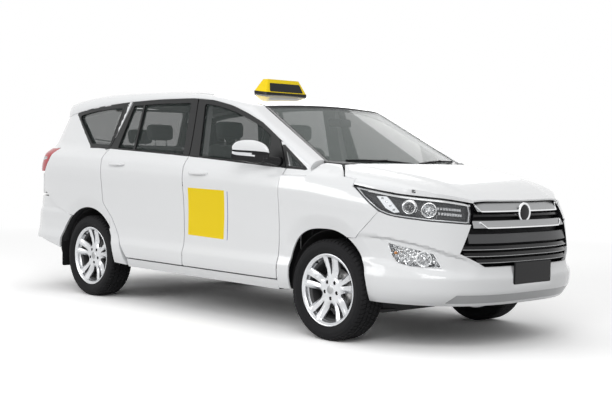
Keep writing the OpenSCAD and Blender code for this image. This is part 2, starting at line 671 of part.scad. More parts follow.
// Rear end
module rear_bumper() {
    half = [0, 0.3, 0.55, 0.72, 0.83, 0.9, 0.945, 0.972, 0.988, 0.9955, 0.9992, 0.9998];
    cols = concat([for (v = reversed(half)) -v], [for (i = [1 : len(half) - 1]) half[i]]);
    grid = [for (z = [370, 420, 480, 540, 600, 680, 740, 790]) [for (s = cols) tail_at(s, z)]];
    color(white) difference() {
        slab(grid, [for (r = grid) [for (p = r) tail_in(p, 2 * skin_t)]]);
        both() cross_cylinder(rear_x, axle_z, rear_arch_r, 300, 1000);
        both() side_prism([[-1000, 200], [-1745, 200], [-1745, 366], [-2080, 431], [-2500, 431],
            [-2500, 200]], -10, 1000);
        both() side_prism([[-1400, sill_z], [-1500 - seam, sill_z], [-1690 - seam, 665],
            [-1850 - seam, 720], [-2058 - seam, 850], [-1400, 850]], 600, 1000);
    }
}

TAILGATE_Z = [800, 1580];
gate_t = 50;
// Rows of the tailgate, [z, share of its full width]: it narrows between the tail lamps
GATE_ROWS = [[TAILGATE_Z[0], 1], [900, 1], [979, 1], [987, 0.93], [1100, 0.93], [1212, 0.93],
    [1220, 1], [1300, 1], [1400, 1], [1500, 1], [TAILGATE_Z[1], 1]];
GATE_SHARES = [-0.86, -0.75, -0.6, -0.4, -0.2, 0, 0.2, 0.4, 0.6, 0.75, 0.86];
// Slope of the ledge under each lamp, which lets the tailgate swing out past the lamp
ledge_fall = 18;
REAR_WINDOW = [[640, 1245], [590, 1560], [-590, 1560], [-640, 1245]];

module tailgate() {
    grid = [for (r = GATE_ROWS) [for (s = GATE_SHARES) tail_at(s * r[1], r[0])]];
    color(white) union() {
        difference() {
            slab(grid, [for (r = grid) [for (p = r)
                [p[0] + gate_t, p[1], p[2] - (p[2] > 970 && p[2] < 1000 ? ledge_fall : 0)]]]);
            front_prism(REAR_WINDOW, -2600, -1700);
            both() box([gate_hinge[0] - 24, 340, gate_hinge[1] - 28], [gate_hinge[0] + 60, 384, 1700]);
        }
        both() gate_arm();
    }
}

// Room for the closed tailgate with a shut gap at its sides and its inner face
module gate_space() {
    grid = [for (r = GATE_ROWS) [for (s = GATE_SHARES) tail_at(s * r[1] * 1.02, r[0])]];
    slab([for (r = grid) [for (p = r) p - [30, 0, 0]]],
        [for (r = grid) [for (p = r) p + [gate_t + shut_gap + 3, 0, 0]]]);
}

// Arm of the tailgate's hinge, from its recess in the panel's top to the pin
module gate_arm() {
    x = gate_hinge[0];
    z = gate_hinge[1];
    difference() {
        union() {
            box([x - 34, 352, z - 20], [x, 362, z - 4]);
            cross_cylinder(x, z, 10, 352, 362);
        }
        cross_cylinder(x, z, 5 + run_gap, 340, 380);
    }
}

module tailgate_glass() {
    color("#7f8c8a", 0.6) intersection() {
        grid = [for (z = span(1235, 1570, 3)) [for (s = span(-0.8, 0.8, 8)) tail_at(s, z)
            + [10, 0, 0]]];
        slab(grid, [for (r = grid) [for (p = r) [p[0] + glass_t, p[1], p[2]]]]);
        front_prism([for (p = REAR_WINDOW) [p[0] * 0.999, (p[1] - 1400) * 0.998 + 1400]],
            -2600, -1700);
    }
}

module tail_lamps() {
    color("#b01018") both() difference() {
        intersection() {
            ss = [0.812, 0.85, 0.88, 0.92, 0.96, 0.985, 0.996, 0.999];
            grid = [for (z = span(1002, 1203, 3)) [for (s = ss) tail_at(s, z)]];
            slab(grid, [for (r = grid) [for (p = r) tail_in(p, 55)]]);
            side_prism([[-1893 - seam, 1204], [-2036 - seam, 999], [-2500, 999], [-2500, 1204]],
                300, 1000);
        }
        gate_space();
    }
}

// Underbody
RAIL_SHAPE = [[-2240, 440], [-1150, 440], [-950, 316], [1160, 316], [1290, 380], [2200, 380],
    [2200, 500], [1280, 500], [1160, 436], [-930, 436], [-1130, 546], [-2240, 546]];
rail_y = [400, 460];
rail_joints = [-930, 1160 - seam];
floor_t = 8;
front_floor_z = 450;
rear_floor_z = 560;

// A rail in three sections, butted at the ends of its kick-ups
module frame_rail(s) {
    color(black) union() {
        on_side(s) {
            difference() {
                side_prism(RAIL_SHAPE, rail_y[0], rail_y[1]);
                for (x = rail_joints) box([x, 300, 200], [x + seam, 500, 600]);
            }
            for (x = [-2100, -1300]) body_mount(x, 546, rear_floor_z);
            for (x = [-600, 300, 900]) body_mount(x, 436, front_floor_z);
        }
        if (s > 0) tow_eye();
    }
}

// Round pad on a rail at height z, up to the floor above it
module body_mount(x, z, top) {
    translate([x, (rail_y[0] + rail_y[1]) / 2, z - 1])
        cylinder(r = 26, h = top - floor_t - z + 1, $fn = 48);
}

module cross_members() {
    color(black) union() {
        for (x = [-2200, -1750]) cross_member(x, 450, 530);
        for (x = [-800, -100, 700]) cross_member(x, 376, 430);
        cross_member(1640, 385, 415);
        cross_member(2140, 390, 490);
    }
}

module cross_member(x, z0, z1) {
    y = rail_y[0] - seam;
    box([x - 30, -y, z0], [x + 30, y, z1]);
}

tow_eye_r = 16;
tow_eye_t = 14;
TOW_EYE = [2242, 430, 380];

// Plate welded under the front end of the left rail, with an upright bore ahead of the rail
module tow_eye() {
    difference() {
        union() {
            box(TOW_EYE - [110, 30, tow_eye_t], TOW_EYE + [0, 30, 0]);
            box(TOW_EYE - [110, 30, tow_eye_t], TOW_EYE + [-50, 30, 1]);
            translate(TOW_EYE - [0, 0, tow_eye_t]) cylinder(r = 30, h = tow_eye_t, $fn = 96);
        }
        translate(TOW_EYE - [0, 0, tow_eye_t + 1])
            cylinder(r = tow_eye_r, h = tow_eye_t + 2, $fn = 96);
    }
}

king_y = half_track - 55;
king_reach = 150;

module front_suspension() {
    color(grey) union() {
        box([front_x - 70, -rail_y[1] + 60, 150], [front_x + 70, rail_y[1] - 60, 230]);
        both() {
            box([front_x - 70, rail_y[0] - 40, 150], [front_x + 70, rail_y[0], 379.7]);
            box([front_x - 70, rail_y[0] - 2, 340], [front_x + 70, rail_y[1], 379.7]);
            arm(axle_z - king_reach - 14, rail_y[0] - 60, -1);
            arm(axle_z + king_reach - 4, rail_y[1] + 0.3, 1);
        }
    }
}

// A wishbone from y0 out to the kingpin axis, its ball joint bored on that axis
module arm(z, y0, end) {
    t = 18;
    difference() {
        union() {
            translate([0, 0, z]) linear_extrude(t) polygon([[front_x - 150, y0], [front_x - 110, y0],
                [front_x, king_y - 60], [front_x + 110, y0], [front_x + 150, y0],
                [front_x + 24, king_y], [front_x - 24, king_y]]);
            translate([front_x, king_y, z]) cylinder(r = 26, h = t, $fn = 48);
        }
        translate([front_x, king_y, z - 1]) cylinder(r = 9 + run_gap, h = t + 2, $fn = 48);
    }
}

module knuckle(s) {
    z0 = axle_z - king_reach + 5;
    z1 = axle_z + king_reach - 5;
    color(grey) on_side(s) union() {
        translate([front_x, king_y, z0 - 16]) cylinder(r = 9, h = z1 - z0 + 32, $fn = 48);
        translate([front_x, king_y, z0]) cylinder(r = 20, h = z1 - z0, $fn = 48);
        cross_cylinder(front_x, axle_z, 48, king_y - 24, king_y + 22);
        cross_cylinder(front_x, axle_z, spindle_d / 2, king_y, half_track + 3);
    }
}

module rear_axle() {
    color(black) union() {
        cross_cylinder(rear_x, axle_z, 40, -half_track + 50, half_track - 50);
        both() cross_cylinder(rear_x, axle_z, spindle_d / 2, 600, half_track + 3);
        translate([rear_x, 0, axle_z]) sphere(r = 105, $fn = 48);
        both() translate([rear_x, 430, axle_z]) cylinder(r = 45, h = 439.7 - axle_z, $fn = 48);
        translate([rear_x, 0, axle_z]) rotate([0, 90, 0]) cylinder(r = 45, h = 190, $fn = 48);
        translate([rear_x + 100, 0, axle_z]) rotate([0, 90, 0])
            cylinder(r = 32, h = 1900, $fn = 48);
    }
}

module engine_block() {
    color(grey) box([1340, -300, 415 + seam], [1980, 300, 1000]);
}

module fuel_tank() {
    color(black) box([-740, 120, 210], [-160, 385, front_floor_z - floor_t - seam]);
}

module exhaust() {
    color(silver) union() {
        translate([-560, -250, 285]) rotate([0, 90, 0]) cylinder(r = 28, h = 1500, $fn = 48);
        box([-900, -360, 215], [-500, -150, 320]);
        translate([-800, -250, 310]) cylinder(r = 8, h = 376 - seam - 310, $fn = 32);
    }
}

module spare_wheel() {
    color(black) translate([-1880, 0, 270 - seam]) cylinder(r = 300, h = 180, $fn = 96);
}

cowl_z = 1060;
// Axes of the hood's and the tailgate's hinges, [x, z]
hood_hinge = [half_l - 1055, 1085];
gate_hinge = [-half_l + 350, 1588];

module floor_pan() {
    color("#3c3f43") difference() {
        union() {
            box([-920, -765, front_floor_z - floor_t], [1150, 765, front_floor_z]);
            box([-920, -765, front_floor_z - floor_t], [-912, 765, rear_floor_z]);
            box([-2150, -765, rear_floor_z - floor_t], [-912, 765, rear_floor_z]);
            box([1142, -760, front_floor_z - floor_t], [1150, 760, cowl_z]);
            box([1142, -690, cowl_z - 8], [1415, 690, cowl_z]);
            both() {
                box([hood_hinge[0] - 14, 568, cowl_z - 4], [hood_hinge[0] + 14, 576,
                    hood_hinge[1]]);
                cross_cylinder(hood_hinge[0], hood_hinge[1], 14, 568, 576);
                cross_cylinder(hood_hinge[0], hood_hinge[1], 6, 548, 570);
            }
        }
        both() cross_cylinder(rear_x, axle_z, 391, 480, 1000);
        both() cross_cylinder(front_x, axle_z, 391, 480, 1000);
    }
}

wheelhouse_y = 484;

// A half drum over a wheel with its inner wall
module wheelhouse(x, r, y1) {
    intersection() {
        difference() {
            cross_cylinder(x, axle_z, r + 4, wheelhouse_y - 4, y1);
            cross_cylinder(x, axle_z, r, wheelhouse_y, y1 + 1);
        }
        box([x - 500, 0, axle_z - 20], [x + 500, 1000, 900]);
    }
}

module wheelhouses() {
    color(black) both() {
        difference() {
            wheelhouse(rear_x, 386, 820);
            box([rear_x - 60, 470, 300], [rear_x + 60, 490, 392]);
        }
        difference() {
            wheelhouse(front_x, 386, 808);
            box([front_x - 165, 470, 300], [front_x + 165, 490, 510]);
        }
    }
}

module radiator_support() {
    color(black) difference() {
        box([2100, -545, 500 + seam], [2140, 545, 868]);
        box([2090, -420, 560], [2150, 420, 830]);
    }
}

module mudflaps() {
    color(black) both() box([-1752, 700, 210], [-1746, 881, 420]);
}

// Cabin
module dashboard() {
    color("#2c2e30") difference() {
        side_prism([[760, 830], [780, 1040], [860, 1105], [1100, 1105], [1142 - seam, 1080],
            [1142 - seam, 640], [1000, 640]], -700, 700);
        on_column() translate([0, 0, -90]) cylinder(r = 20 + run_gap, h = 150, $fn = 48);
    }
}

SEAT = [[0, 0], [520, 0], [540, 60], [520, 130], [40, 110], [-130, 600], [-230, 590], [-90, 60]];

module seat(x, z, y, w) {
    translate([x, 0, z]) {
        side_prism(SEAT, y - w / 2, y + w / 2);
        side_prism([[-150, 598], [-165, 760], [-245, 760], [-225, 580]], y - 120, y + 120);
    }
}

module front_seats() {
    color("#4a5052") {
        for (y = [-370, 370]) seat(0, 690, y, 500);
        for (y = [-370, 370]) box([0, y - 200, front_floor_z], [440, y + 200, 691]);
    }
}

module second_row_seat() {
    color("#4a5052") {
        for (y = [-370, 370]) seat(-900, 670, y, 540);
        for (y = [-370, 370]) box([-900, y - 200, front_floor_z], [-500, y + 200, 671]);
    }
}

module third_row_seat() {
    color("#4a5052") {
        seat(-1700, 640, 0, 900);
        box([-1700, -400, rear_floor_z], [-1300, 400, 641]);
    }
}

WHEEL_AXIS = [745, -370, 960];
wheel_tilt = 62;

module on_column() {
    translate(WHEEL_AXIS) rotate([0, -wheel_tilt, 0]) children();
}

module steering_wheel() {
    color(black) on_column() translate([0, 0, 60]) {
        rotate_extrude($fn = 96) translate([180, 0]) circle(r = 14, $fn = 32);
        cylinder(r = 60, h = 30, center = true, $fn = 64);
        for (a = [0, 120, 240]) rotate([0, 0, a + 180]) translate([40, -18, -8]) cube([135, 36, 16]);
        translate([0, 0, -140]) cylinder(r = 20, h = 140, $fn = 48);
    }
}

sign_x = [-98, 52];
sign_y = 215;
sign_h = 108;

module taxi_sign() {
    zr = roof_z(sign_x[0], 0) + 5 * seam;
    zf = roof_z(sign_x[1], 0) + 5 * seam;
    top = zr + sign_h;
    color("#f4d80a") hull() {
        side_prism([[sign_x[0], zr], [sign_x[0], zr + 14], [sign_x[1], zf + 16], [sign_x[1], zf]],
            -sign_y, sign_y);
        box([sign_x[0] + 46, 50 - sign_y, top - 12], [sign_x[1] - 44, sign_y - 50, top]);
    }
}

module mirror_unit(s) {
    color(white) on_side(s) {
        hull() {
            translate([722, 1042, 1206]) sphere(r = 30, $fn = 24);
            translate([735, 1042, 1170]) sphere(r = 26, $fn = 24);
            translate([800, 948, 1200]) sphere(r = 52, $fn = 24);
            translate([822, 936, 1150]) sphere(r = 38, $fn = 24);
        }
        hull() {
            translate([850, 925, 1130]) sphere(r = 16, $fn = 14);
            translate([880, body_y(856, 1094) + seam, 1120]) rotate([-90, 0, 0])
                cylinder(r = 24, h = 8, $fn = 24);
        }
    }
}

// Wheels, built along +Z with the outer face up and the middle plane at z = 0
half_rim = 92;
bead_r = rim_d / 2 - 19;

function polar(r, a) = [r * cos(a), r * sin(a)];

module rim() {
    r = rim_d / 2;
    color(silver) difference() {
        union() {
            rotate_extrude($fn = 96) polygon([[r, half_rim], [r, half_rim - 6], [r - 13, half_rim - 8],
                [bead_r, half_rim - 12], [bead_r, 50], [bead_r - 16, 35], [bead_r - 16, -20],
                [bead_r, -35], [bead_r, 12 - half_rim], [r - 13, 8 - half_rim], [r, 6 - half_rim],
                [r, -half_rim], [r - 13, -half_rim], [bead_r - 8, 8 - half_rim], [bead_r - 8, -40],
                [bead_r - 24, -22], [bead_r - 24, 38], [bead_r - 10, 54], [bead_r - 10, 80],
                [r - 13, half_rim]]);
            difference() {
                rotate_extrude($fn = 96) polygon([[0, 58], [30, 62], [70, 56], [bead_r - 6, 84],
                    [bead_r - 6, 60], [80, 30], [60, -4], [0, -4]]);
                for (k = [0 : 4]) rotate([0, 0, 90 + 72 * k])
                    linear_extrude(100) rim_windows();
            }
            translate([0, 0, -28]) cylinder(r = 138, h = 22, $fn = 96);
            translate([0, 0, -7]) cylinder(r = 70, h = 40, $fn = 96);
        }
        translate([0, 0, -60]) cylinder(r = spindle_d / 2 + run_gap, h = 64, $fn = 64);
    }
}

// The openings of one fifth of the wheel: a wide one between groups of spokes and a slot on
// each side of the middle spoke
module rim_windows() {
    outer = bead_r - 14;
    polygon([polar(outer, 19), polar(outer, 36), polar(outer, 53), polar(96, 47), polar(82, 36),
        polar(96, 25)]);
    for (m = [-1, 1]) polygon([polar(outer, m * 3.2), polar(outer, m * 12), polar(92, m * 9),
        polar(92, m * 4.5)]);
}

module tyre() {
    r = tyre_d / 2;
    h = tyre_w / 2;
    f = rim_d / 2;
    color(black) rotate_extrude($fn = 96) polygon(concat([for (m = [1, -1]) each [for (p = m > 0
        ? tyre_half(r, h, f) : reversed(tyre_half(r, h, f))) [p[0], p[1] * m]]],
        [for (m = [-1, 1]) each [for (p = m < 0 ? tyre_inside(r, h, f)
        : reversed(tyre_inside(r, h, f))) [p[0], p[1] * m]]]));
}

function tyre_half(r, h, f) = [[bead_r + seam, half_rim - 40], [bead_r + seam, half_rim - 13],
    [f - 12, half_rim - 9], [f + 1, half_rim - 7], [f + 18, h - 8], [f + 44, h], [r - 24, h - 6],
    [r - 9, h - 18], [r, h - 36]];
function tyre_inside(r, h, f) = [[f - 8, half_rim - 40], [f + 10, half_rim - 18],
    [f + 40, h - 12], [r - 32, h - 16], [r - 12, h - 42]];

// Sets its child at the axle x on one side
module wheel_place(x, s) {
    on_side(s) translate([x, half_track, axle_z]) rotate([-90, 0, 0]) children();
}

fitted(BODY_FIT) frame_rail(1);  // frame_rail_left
fitted(BODY_FIT) frame_rail(-1);  // frame_rail_right
fitted(BODY_FIT) cross_members();
fitted(WHEEL_FIT) front_suspension();
fitted(WHEEL_FIT) rear_axle();
fitted(BODY_FIT) engine_block();
fitted(BODY_FIT) fuel_tank();
fitted(BODY_FIT) exhaust();
fitted(BODY_FIT) spare_wheel();
fitted(BODY_FIT) floor_pan();
fitted(BODY_FIT) wheelhouses();
fitted(BODY_FIT) radiator_support();
fitted(BODY_FIT) side_frame(1);  // side_frame_left
fitted(BODY_FIT) side_frame(-1);  // side_frame_right
fitted(BODY_FIT) quarter_panel(1);  // quarter_panel_left
fitted(BODY_FIT) quarter_panel(-1);  // quarter_panel_right
fitted(BODY_FIT) roof();
fitted(BODY_FIT) fender(1);  // fender_left
fitted(BODY_FIT) fender(-1);  // fender_right
fitted(BODY_FIT) front_bumper();
fitted(BODY_FIT) rear_bumper();
fitted(BODY_FIT) grille();
fitted(BODY_FIT) headlamp(1);  // headlamp_left
fitted(BODY_FIT) headlamp(-1);  // headlamp_right
fitted(BODY_FIT) fog_lamps();
fitted(BODY_FIT) tail_lamps();
fitted(BODY_FIT) windscreen();
fitted(BODY_FIT) quarter_glass();
fitted(BODY_FIT) dashboard();
fitted(BODY_FIT) front_seats();
fitted(BODY_FIT) second_row_seat();
fitted(BODY_FIT) third_row_seat();
fitted(BODY_FIT) taxi_sign();
fitted(BODY_FIT) mudflaps();
fitted(BODY_FIT) steering_wheel();
fitted(BODY_FIT) hood();
fitted(BODY_FIT) tailgate();
fitted(BODY_FIT) tailgate_glass();
fitted(BODY_FIT) door_front(1);  // door_front_left
fitted(BODY_FIT) door_front(-1);  // door_front_right
fitted(BODY_FIT) door_rear(1);  // door_rear_left
fitted(BODY_FIT) door_rear(-1);  // door_rear_right
fitted(BODY_FIT) glass_front(1);  // glass_front_left
fitted(BODY_FIT) glass_front(-1);  // glass_front_right
fitted(BODY_FIT) glass_rear(1);  // glass_rear_left
fitted(BODY_FIT) glass_rear(-1);  // glass_rear_right
fitted(BODY_FIT) mirror_unit(1);  // mirror_left
fitted(BODY_FIT) mirror_unit(-1);  // mirror_right
fitted(WHEEL_FIT) knuckle(1);  // knuckle_left
fitted(WHEEL_FIT) knuckle(-1);  // knuckle_right
fitted(WHEEL_FIT) wheel_place(front_x, 1) rim();  // rim_front_left
fitted(WHEEL_FIT) wheel_place(front_x, -1) rim();  // rim_front_right
fitted(WHEEL_FIT) wheel_place(rear_x, 1) rim();  // rim_rear_left
fitted(WHEEL_FIT) wheel_place(rear_x, -1) rim();  // rim_rear_right
fitted(WHEEL_FIT) wheel_place(front_x, 1) tyre();  // tyre_front_left
fitted(WHEEL_FIT) wheel_place(front_x, -1) tyre();  // tyre_front_right
fitted(WHEEL_FIT) wheel_place(rear_x, 1) tyre();  // tyre_rear_left
fitted(WHEEL_FIT) wheel_place(rear_x, -1) tyre();  // tyre_rear_right
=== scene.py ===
import bpy
import math
import numpy as np
from mathutils import Vector, Matrix
from mathutils.geometry import delaunay_2d_cdt


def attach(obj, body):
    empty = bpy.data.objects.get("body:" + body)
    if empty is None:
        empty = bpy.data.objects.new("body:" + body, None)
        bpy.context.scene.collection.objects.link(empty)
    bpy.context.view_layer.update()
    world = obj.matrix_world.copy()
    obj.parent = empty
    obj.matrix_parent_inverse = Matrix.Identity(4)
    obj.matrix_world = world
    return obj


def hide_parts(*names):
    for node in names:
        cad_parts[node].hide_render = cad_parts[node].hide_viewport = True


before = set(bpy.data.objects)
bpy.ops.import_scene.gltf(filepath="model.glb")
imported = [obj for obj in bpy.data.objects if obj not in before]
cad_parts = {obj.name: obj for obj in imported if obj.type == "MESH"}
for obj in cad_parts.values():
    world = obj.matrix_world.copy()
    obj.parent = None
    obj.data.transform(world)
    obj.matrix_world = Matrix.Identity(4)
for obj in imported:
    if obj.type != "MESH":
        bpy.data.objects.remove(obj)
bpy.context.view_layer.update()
scene = bpy.context.scene
scene.view_settings.view_transform = "Standard"
SIDES = (("left", 1), ("right", -1))

# Body surface, in mm
SHOULDER = [[-2390, 1215], [-1350, 1195], [-90, 1155], [960, 1092], [1230, 1075], [1577, 1032],
            [2000, 965], [2250, 900], [2390, 860]]
HOOD_RISE = [[1230, 95], [1365, 97], [1577, 100], [1800, 98], [2000, 88], [2150, 68], [2262, 45],
             [2390, 20]]
NOSE = [[230, 2290], [300, 2345], [370, 2384], [450, 2390], [530, 2378], [610, 2368], [790, 2335],
        [863, 2312], [933, 2270], [960, 2240], [1100, 2190]]
TAIL = [[230, 2300], [300, 2360], [450, 2390], [600, 2385], [750, 2362], [900, 2340], [1010, 2330],
        [1200, 2275], [1400, 2180], [1600, 2085], [1700, 2030]]
LOW_INSET = [[230, 60], [290, 36], [340, 17], [400, 6], [450, 4], [480, 11], [520, 22], [600, 27]]
HIGH_INSET = [[0, 27], [0.25, 23], [0.5, 13], [0.68, 3], [0.74, 2], [0.82, 7], [0.9, 17],
              [0.96, 30], [1, 46]]
ROOF = [[-2090, 1612], [-1800, 1655], [-1400, 1687], [-900, 1697], [-400, 1686], [0, 1657],
        [250, 1620], [527, 1560], [700, 1510]]
RAIL = [[-2100, 1450], [-1792, 1501], [-1500, 1545], [-960, 1584], [-500, 1598], [-162, 1596],
        [60, 1577], [281, 1535], [460, 1480], [630, 1417], [891, 1272], [1204, 1086], [1300, 1030]]
BELT = [[-1424, 1215], [-105, 1162], [1204, 1086]]
HALF_W, HALF_L = 915.0, 2390.0
NOSE_P, NOSE_Q, TAIL_P, TAIL_Q = 6.5, 3.0, 16.0, 4.5
G = 4.5  # half a shut gap
FRONT_X, REAR_X, AXLE_Z, HALF_TRACK = 1400.0, -1350.0, 328.0, 770.0
FRONT_ARCH, ARCH_TOP, REAR_ARCH = 342.0, 396.0, 397.0
REAR_MID = REAR_X - 12  # the rear arch's centre lies a little behind the axle


def table(points, straight=False):
    """Monotone cubic through the points, or straight lines."""
    p = np.array(points, float)
    x, y = p[:, 0], p[:, 1]
    if straight:
        return lambda v: np.interp(v, x, y)
    h = np.diff(x)
    d = np.diff(y) / h
    m = np.zeros_like(y)
    for i in range(1, len(x) - 1):
        if d[i - 1] * d[i] > 0:
            a, b = 2 * h[i] + h[i - 1], h[i] + 2 * h[i - 1]
            m[i] = (a + b) / (a / d[i - 1] + b / d[i])
    m[0], m[-1] = d[0], d[-1]

    def f(v):
        v = np.clip(np.asarray(v, float), x[0], x[-1])
        i = np.clip(np.searchsorted(x, v) - 1, 0, len(x) - 2)
        t = (v - x[i]) / h[i]
        return (y[i] * (1 + 2 * t) * (1 - t) ** 2 + h[i] * m[i] * t * (1 - t) ** 2
                + y[i + 1] * t * t * (3 - 2 * t) + h[i] * m[i + 1] * t * t * (t - 1))
    return f


shoulder_z, hood_rise, nose_reach, tail_reach = map(table, (SHOULDER, HOOD_RISE, NOSE, TAIL))
low_inset, high_inset, roof_mid, rail_z = map(table, (LOW_INSET, HIGH_INSET, ROOF, RAIL))
belt_z = table(BELT)


def unit(v):
    """Clipped to 0..1."""
    return np.clip(v, 0, 1)


def smooth(v):
    """Eased step from 0 to 1."""
    u = unit(v)
    return u * u * (3 - 2 * u)


def mix(a, b, t):
    return a + (b - a) * t


def inset(x, z):
    """How far the side lies inside the half width."""
    return np.where(z < 600, low_inset(z), high_inset(unit((z - 600) / (shoulder_z(x) - 600))))


def plan(x, z):
    """Share of the half width that is left towards the nose and the tail."""
    return np.where(x > 0, (1 - unit(x / nose_reach(z)) ** NOSE_P) ** (1 / NOSE_Q),
                    (1 - unit(-x / tail_reach(z)) ** TAIL_P) ** (1 / TAIL_Q))


def green_half(x, z):
    """Half width at the windows, which lean in."""
    return (853 - (z - 1150) * 0.285) * np.where(x > 0, 1 - 0.06 * unit(x / 1300) ** 2.2,
                                                 1 - 0.05 * unit(-x / 2100) ** 3)


def half_at(x, z):
    return mix(HALF_W - inset(x, z), green_half(x, z), smooth((z - shoulder_z(x) + 70) / 110))


def body_y(x, z):
    return half_at(x, z) * plan(x, z)


def nose_at(s, z):
    x = nose_reach(z) * (1 - np.abs(s) ** NOSE_Q) ** (1 / NOSE_P)
    return x, (HALF_W - inset(x, z)) * s


def tail_at(s, z):
    x = -tail_reach(z) * (1 - np.abs(s) ** TAIL_Q) ** (1 / TAIL_P)
    return x, half_at(x, z) * s


def hood_z(x, y):
    zs = shoulder_z(x)
    ye = body_y(x, zs - 70) * 0.952
    return zs + hood_rise(x) * (1 - unit(np.abs(y) / ye) ** 3) ** (1 / 3)


def roof_z(x, y):
    """Height of the roof, crowned across by 38 mm at 600 mm out."""
    return roof_mid(x) - 38 * (y / 600) ** 2


def screen_x(y, z):
    return 1375 - (z - 1135) * 2.01 - 0.000295 * y * y


# Camera
EYE = (6.5005, -5.9760, 1.2079)
YAW, PITCH, ROLL = math.radians(46.090), math.radians(2.595), math.radians(1.297)
FOCAL_PX, FRAME_PX, SENSOR = 1124.16, 612, 36


def make_camera():
    cam = bpy.data.objects.new("camera", bpy.data.cameras.new("camera"))
    scene.collection.objects.link(cam)
    ahead = Vector((-math.sin(YAW) * math.cos(PITCH), math.cos(YAW) * math.cos(PITCH),
                    -math.sin(PITCH)))
    level = Vector((math.cos(YAW), math.sin(YAW), 0))
    right = level * math.cos(ROLL) + level.cross(ahead) * math.sin(ROLL)
    m = Matrix((right, right.cross(ahead), -ahead)).transposed().to_4x4()
    m.translation = Vector(EYE)
    cam.matrix_world = m
    cam.data.sensor_width = SENSOR
    cam.data.lens = FOCAL_PX / FRAME_PX * SENSOR
    cam.data.clip_end = 200
    scene.camera = cam


make_camera()


# Materials
def material(name, color, rough=0.5, metal=0.0, coat=0.0, coat_rough=0.03, spec=0.5, alpha=1.0,
             sheen=0.0, emit=None):
    m = bpy.data.materials.new(name)
    m.use_nodes = True
    b = m.node_tree.nodes["Principled BSDF"]
    b.inputs["Base Color"].default_value = (*color, 1)
    b.inputs["Roughness"].default_value = rough
    b.inputs["Metallic"].default_value = metal
    b.inputs["Coat Weight"].default_value = coat
    b.inputs["Coat Roughness"].default_value = coat_rough
    b.inputs["IOR"].default_value = 1.45
    b.inputs["Specular IOR Level"].default_value = spec
    b.inputs["Alpha"].default_value = alpha
    b.inputs["Sheen Weight"].default_value = sheen
    if emit:
        b.inputs["Emission Color"].default_value = (*emit[0], 1)
        b.inputs["Emission Strength"].default_value = emit[1]
    return m


def node(m, kind, **sockets):
    n = m.node_tree.nodes.new(kind)
    for k, v in sockets.items():
        if k in n.inputs:
            n.inputs[k].default_value = v
        else:
            setattr(n, k, v)
    return n


def link(m, a, b):
    m.node_tree.links.new(a, b)


def grain(m, scale, bump=0.1, dist=0.001, rough=None, tint=None, detail=6.0, kind="noise"):
    """Surface grain: noise into bump, roughness and a slight change of colour."""
    b = m.node_tree.nodes["Principled BSDF"]
    tc = node(m, "ShaderNodeTexCoord")
    if kind == "noise":
        t = node(m, "ShaderNodeTexNoise", Scale=scale, Detail=detail)
        fac = t.outputs["Fac"]
    else:
        t = node(m, "ShaderNodeTexVoronoi", Scale=scale)
        fac = t.outputs["Distance"]
    link(m, tc.outputs["Object"], t.inputs["Vector"])
    if bump:
        bp = node(m, "ShaderNodeBump", Strength=bump, Distance=dist)
        link(m, fac, bp.inputs["Height"])
        link(m, bp.outputs["Normal"], b.inputs["Normal"])
    if rough:
        r = node(m, "ShaderNodeMapRange")
        r.inputs["To Min"].default_value, r.inputs["To Max"].default_value = rough
        link(m, fac, r.inputs["Value"])
        link(m, r.outputs["Result"], b.inputs["Roughness"])
    if tint:
        c = node(m, "ShaderNodeValToRGB")
        for stop, color, place in zip(c.color_ramp.elements, tint, (0.3, 0.7)):
            stop.color = (*color, 1)
            stop.position = place
        link(m, fac, c.inputs["Fac"])
        link(m, c.outputs["Color"], b.inputs["Base Color"])
    return m


MAT = {}
MAT["paint"] = grain(material("paint", (0.80, 0.81, 0.82), 0.32, coat=1.0, coat_rough=0.04), 900,
                     0.02, 0.0002, (0.28, 0.36), ((0.79, 0.80, 0.81), (0.815, 0.825, 0.835)))
MAT["white_plastic"] = grain(material("white_plastic", (0.79, 0.80, 0.81), 0.35, coat=0.9,
                                      coat_rough=0.06), 700, 0.02, 0.0002, (0.3, 0.4),
                             ((0.78, 0.79, 0.80), (0.80, 0.81, 0.82)))
MAT["black_gloss"] = grain(material("black_gloss", (0.006, 0.006, 0.007), 0.16, spec=0.3), 400,
                           0.01, 0.0002, (0.15, 0.24))
MAT["black_satin"] = grain(material("black_satin", (0.008, 0.008, 0.009), 0.55, spec=0.2), 1500,
                           0.15, 0.0004, (0.5, 0.66), ((0.006, 0.006, 0.007), (0.012, 0.012, 0.013)))
MAT["frame_black"] = grain(material("frame_black", (0.014, 0.0145, 0.015), 0.35, spec=0.3), 1200,
                           0.05, 0.0003, (0.3, 0.42), ((0.012, 0.0125, 0.013), (0.018, 0.0185, 0.019)))
MAT["underbody"] = grain(material("underbody", (0.02, 0.021, 0.023), 0.75), 120, 0.3, 0.001,
                         (0.6, 0.9), ((0.008, 0.008, 0.009), (0.018, 0.0175, 0.017)))
MAT["steel"] = grain(material("steel", (0.5, 0.5, 0.5), 0.45, 1.0), 200, 0.1, 0.0004, (0.3, 0.6),
                     ((0.42, 0.42, 0.42), (0.58, 0.57, 0.56)))
# Dark cast metal; on the wheels its near-black tone is also painted shade on the rim's inner barrel and
# the back of its face
MAT["cast_and_shade"] = grain(material("cast_and_shade", (0.07, 0.07, 0.072), 0.65, 0.6), 250, 0.4, 0.001, (0.55, 0.8),
                    ((0.05, 0.05, 0.052), (0.10, 0.10, 0.102)))
MAT["chrome"] = grain(material("chrome", (0.86, 0.87, 0.88), 0.08, 1.0), 300, 0.0, 0.0, (0.05, 0.12))
MAT["satin_metal"] = grain(material("satin_metal", (0.36, 0.365, 0.37), 0.36, 1.0), 500, 0.05,
                           0.0002, (0.3, 0.42), ((0.33, 0.335, 0.34), (0.39, 0.395, 0.40)))
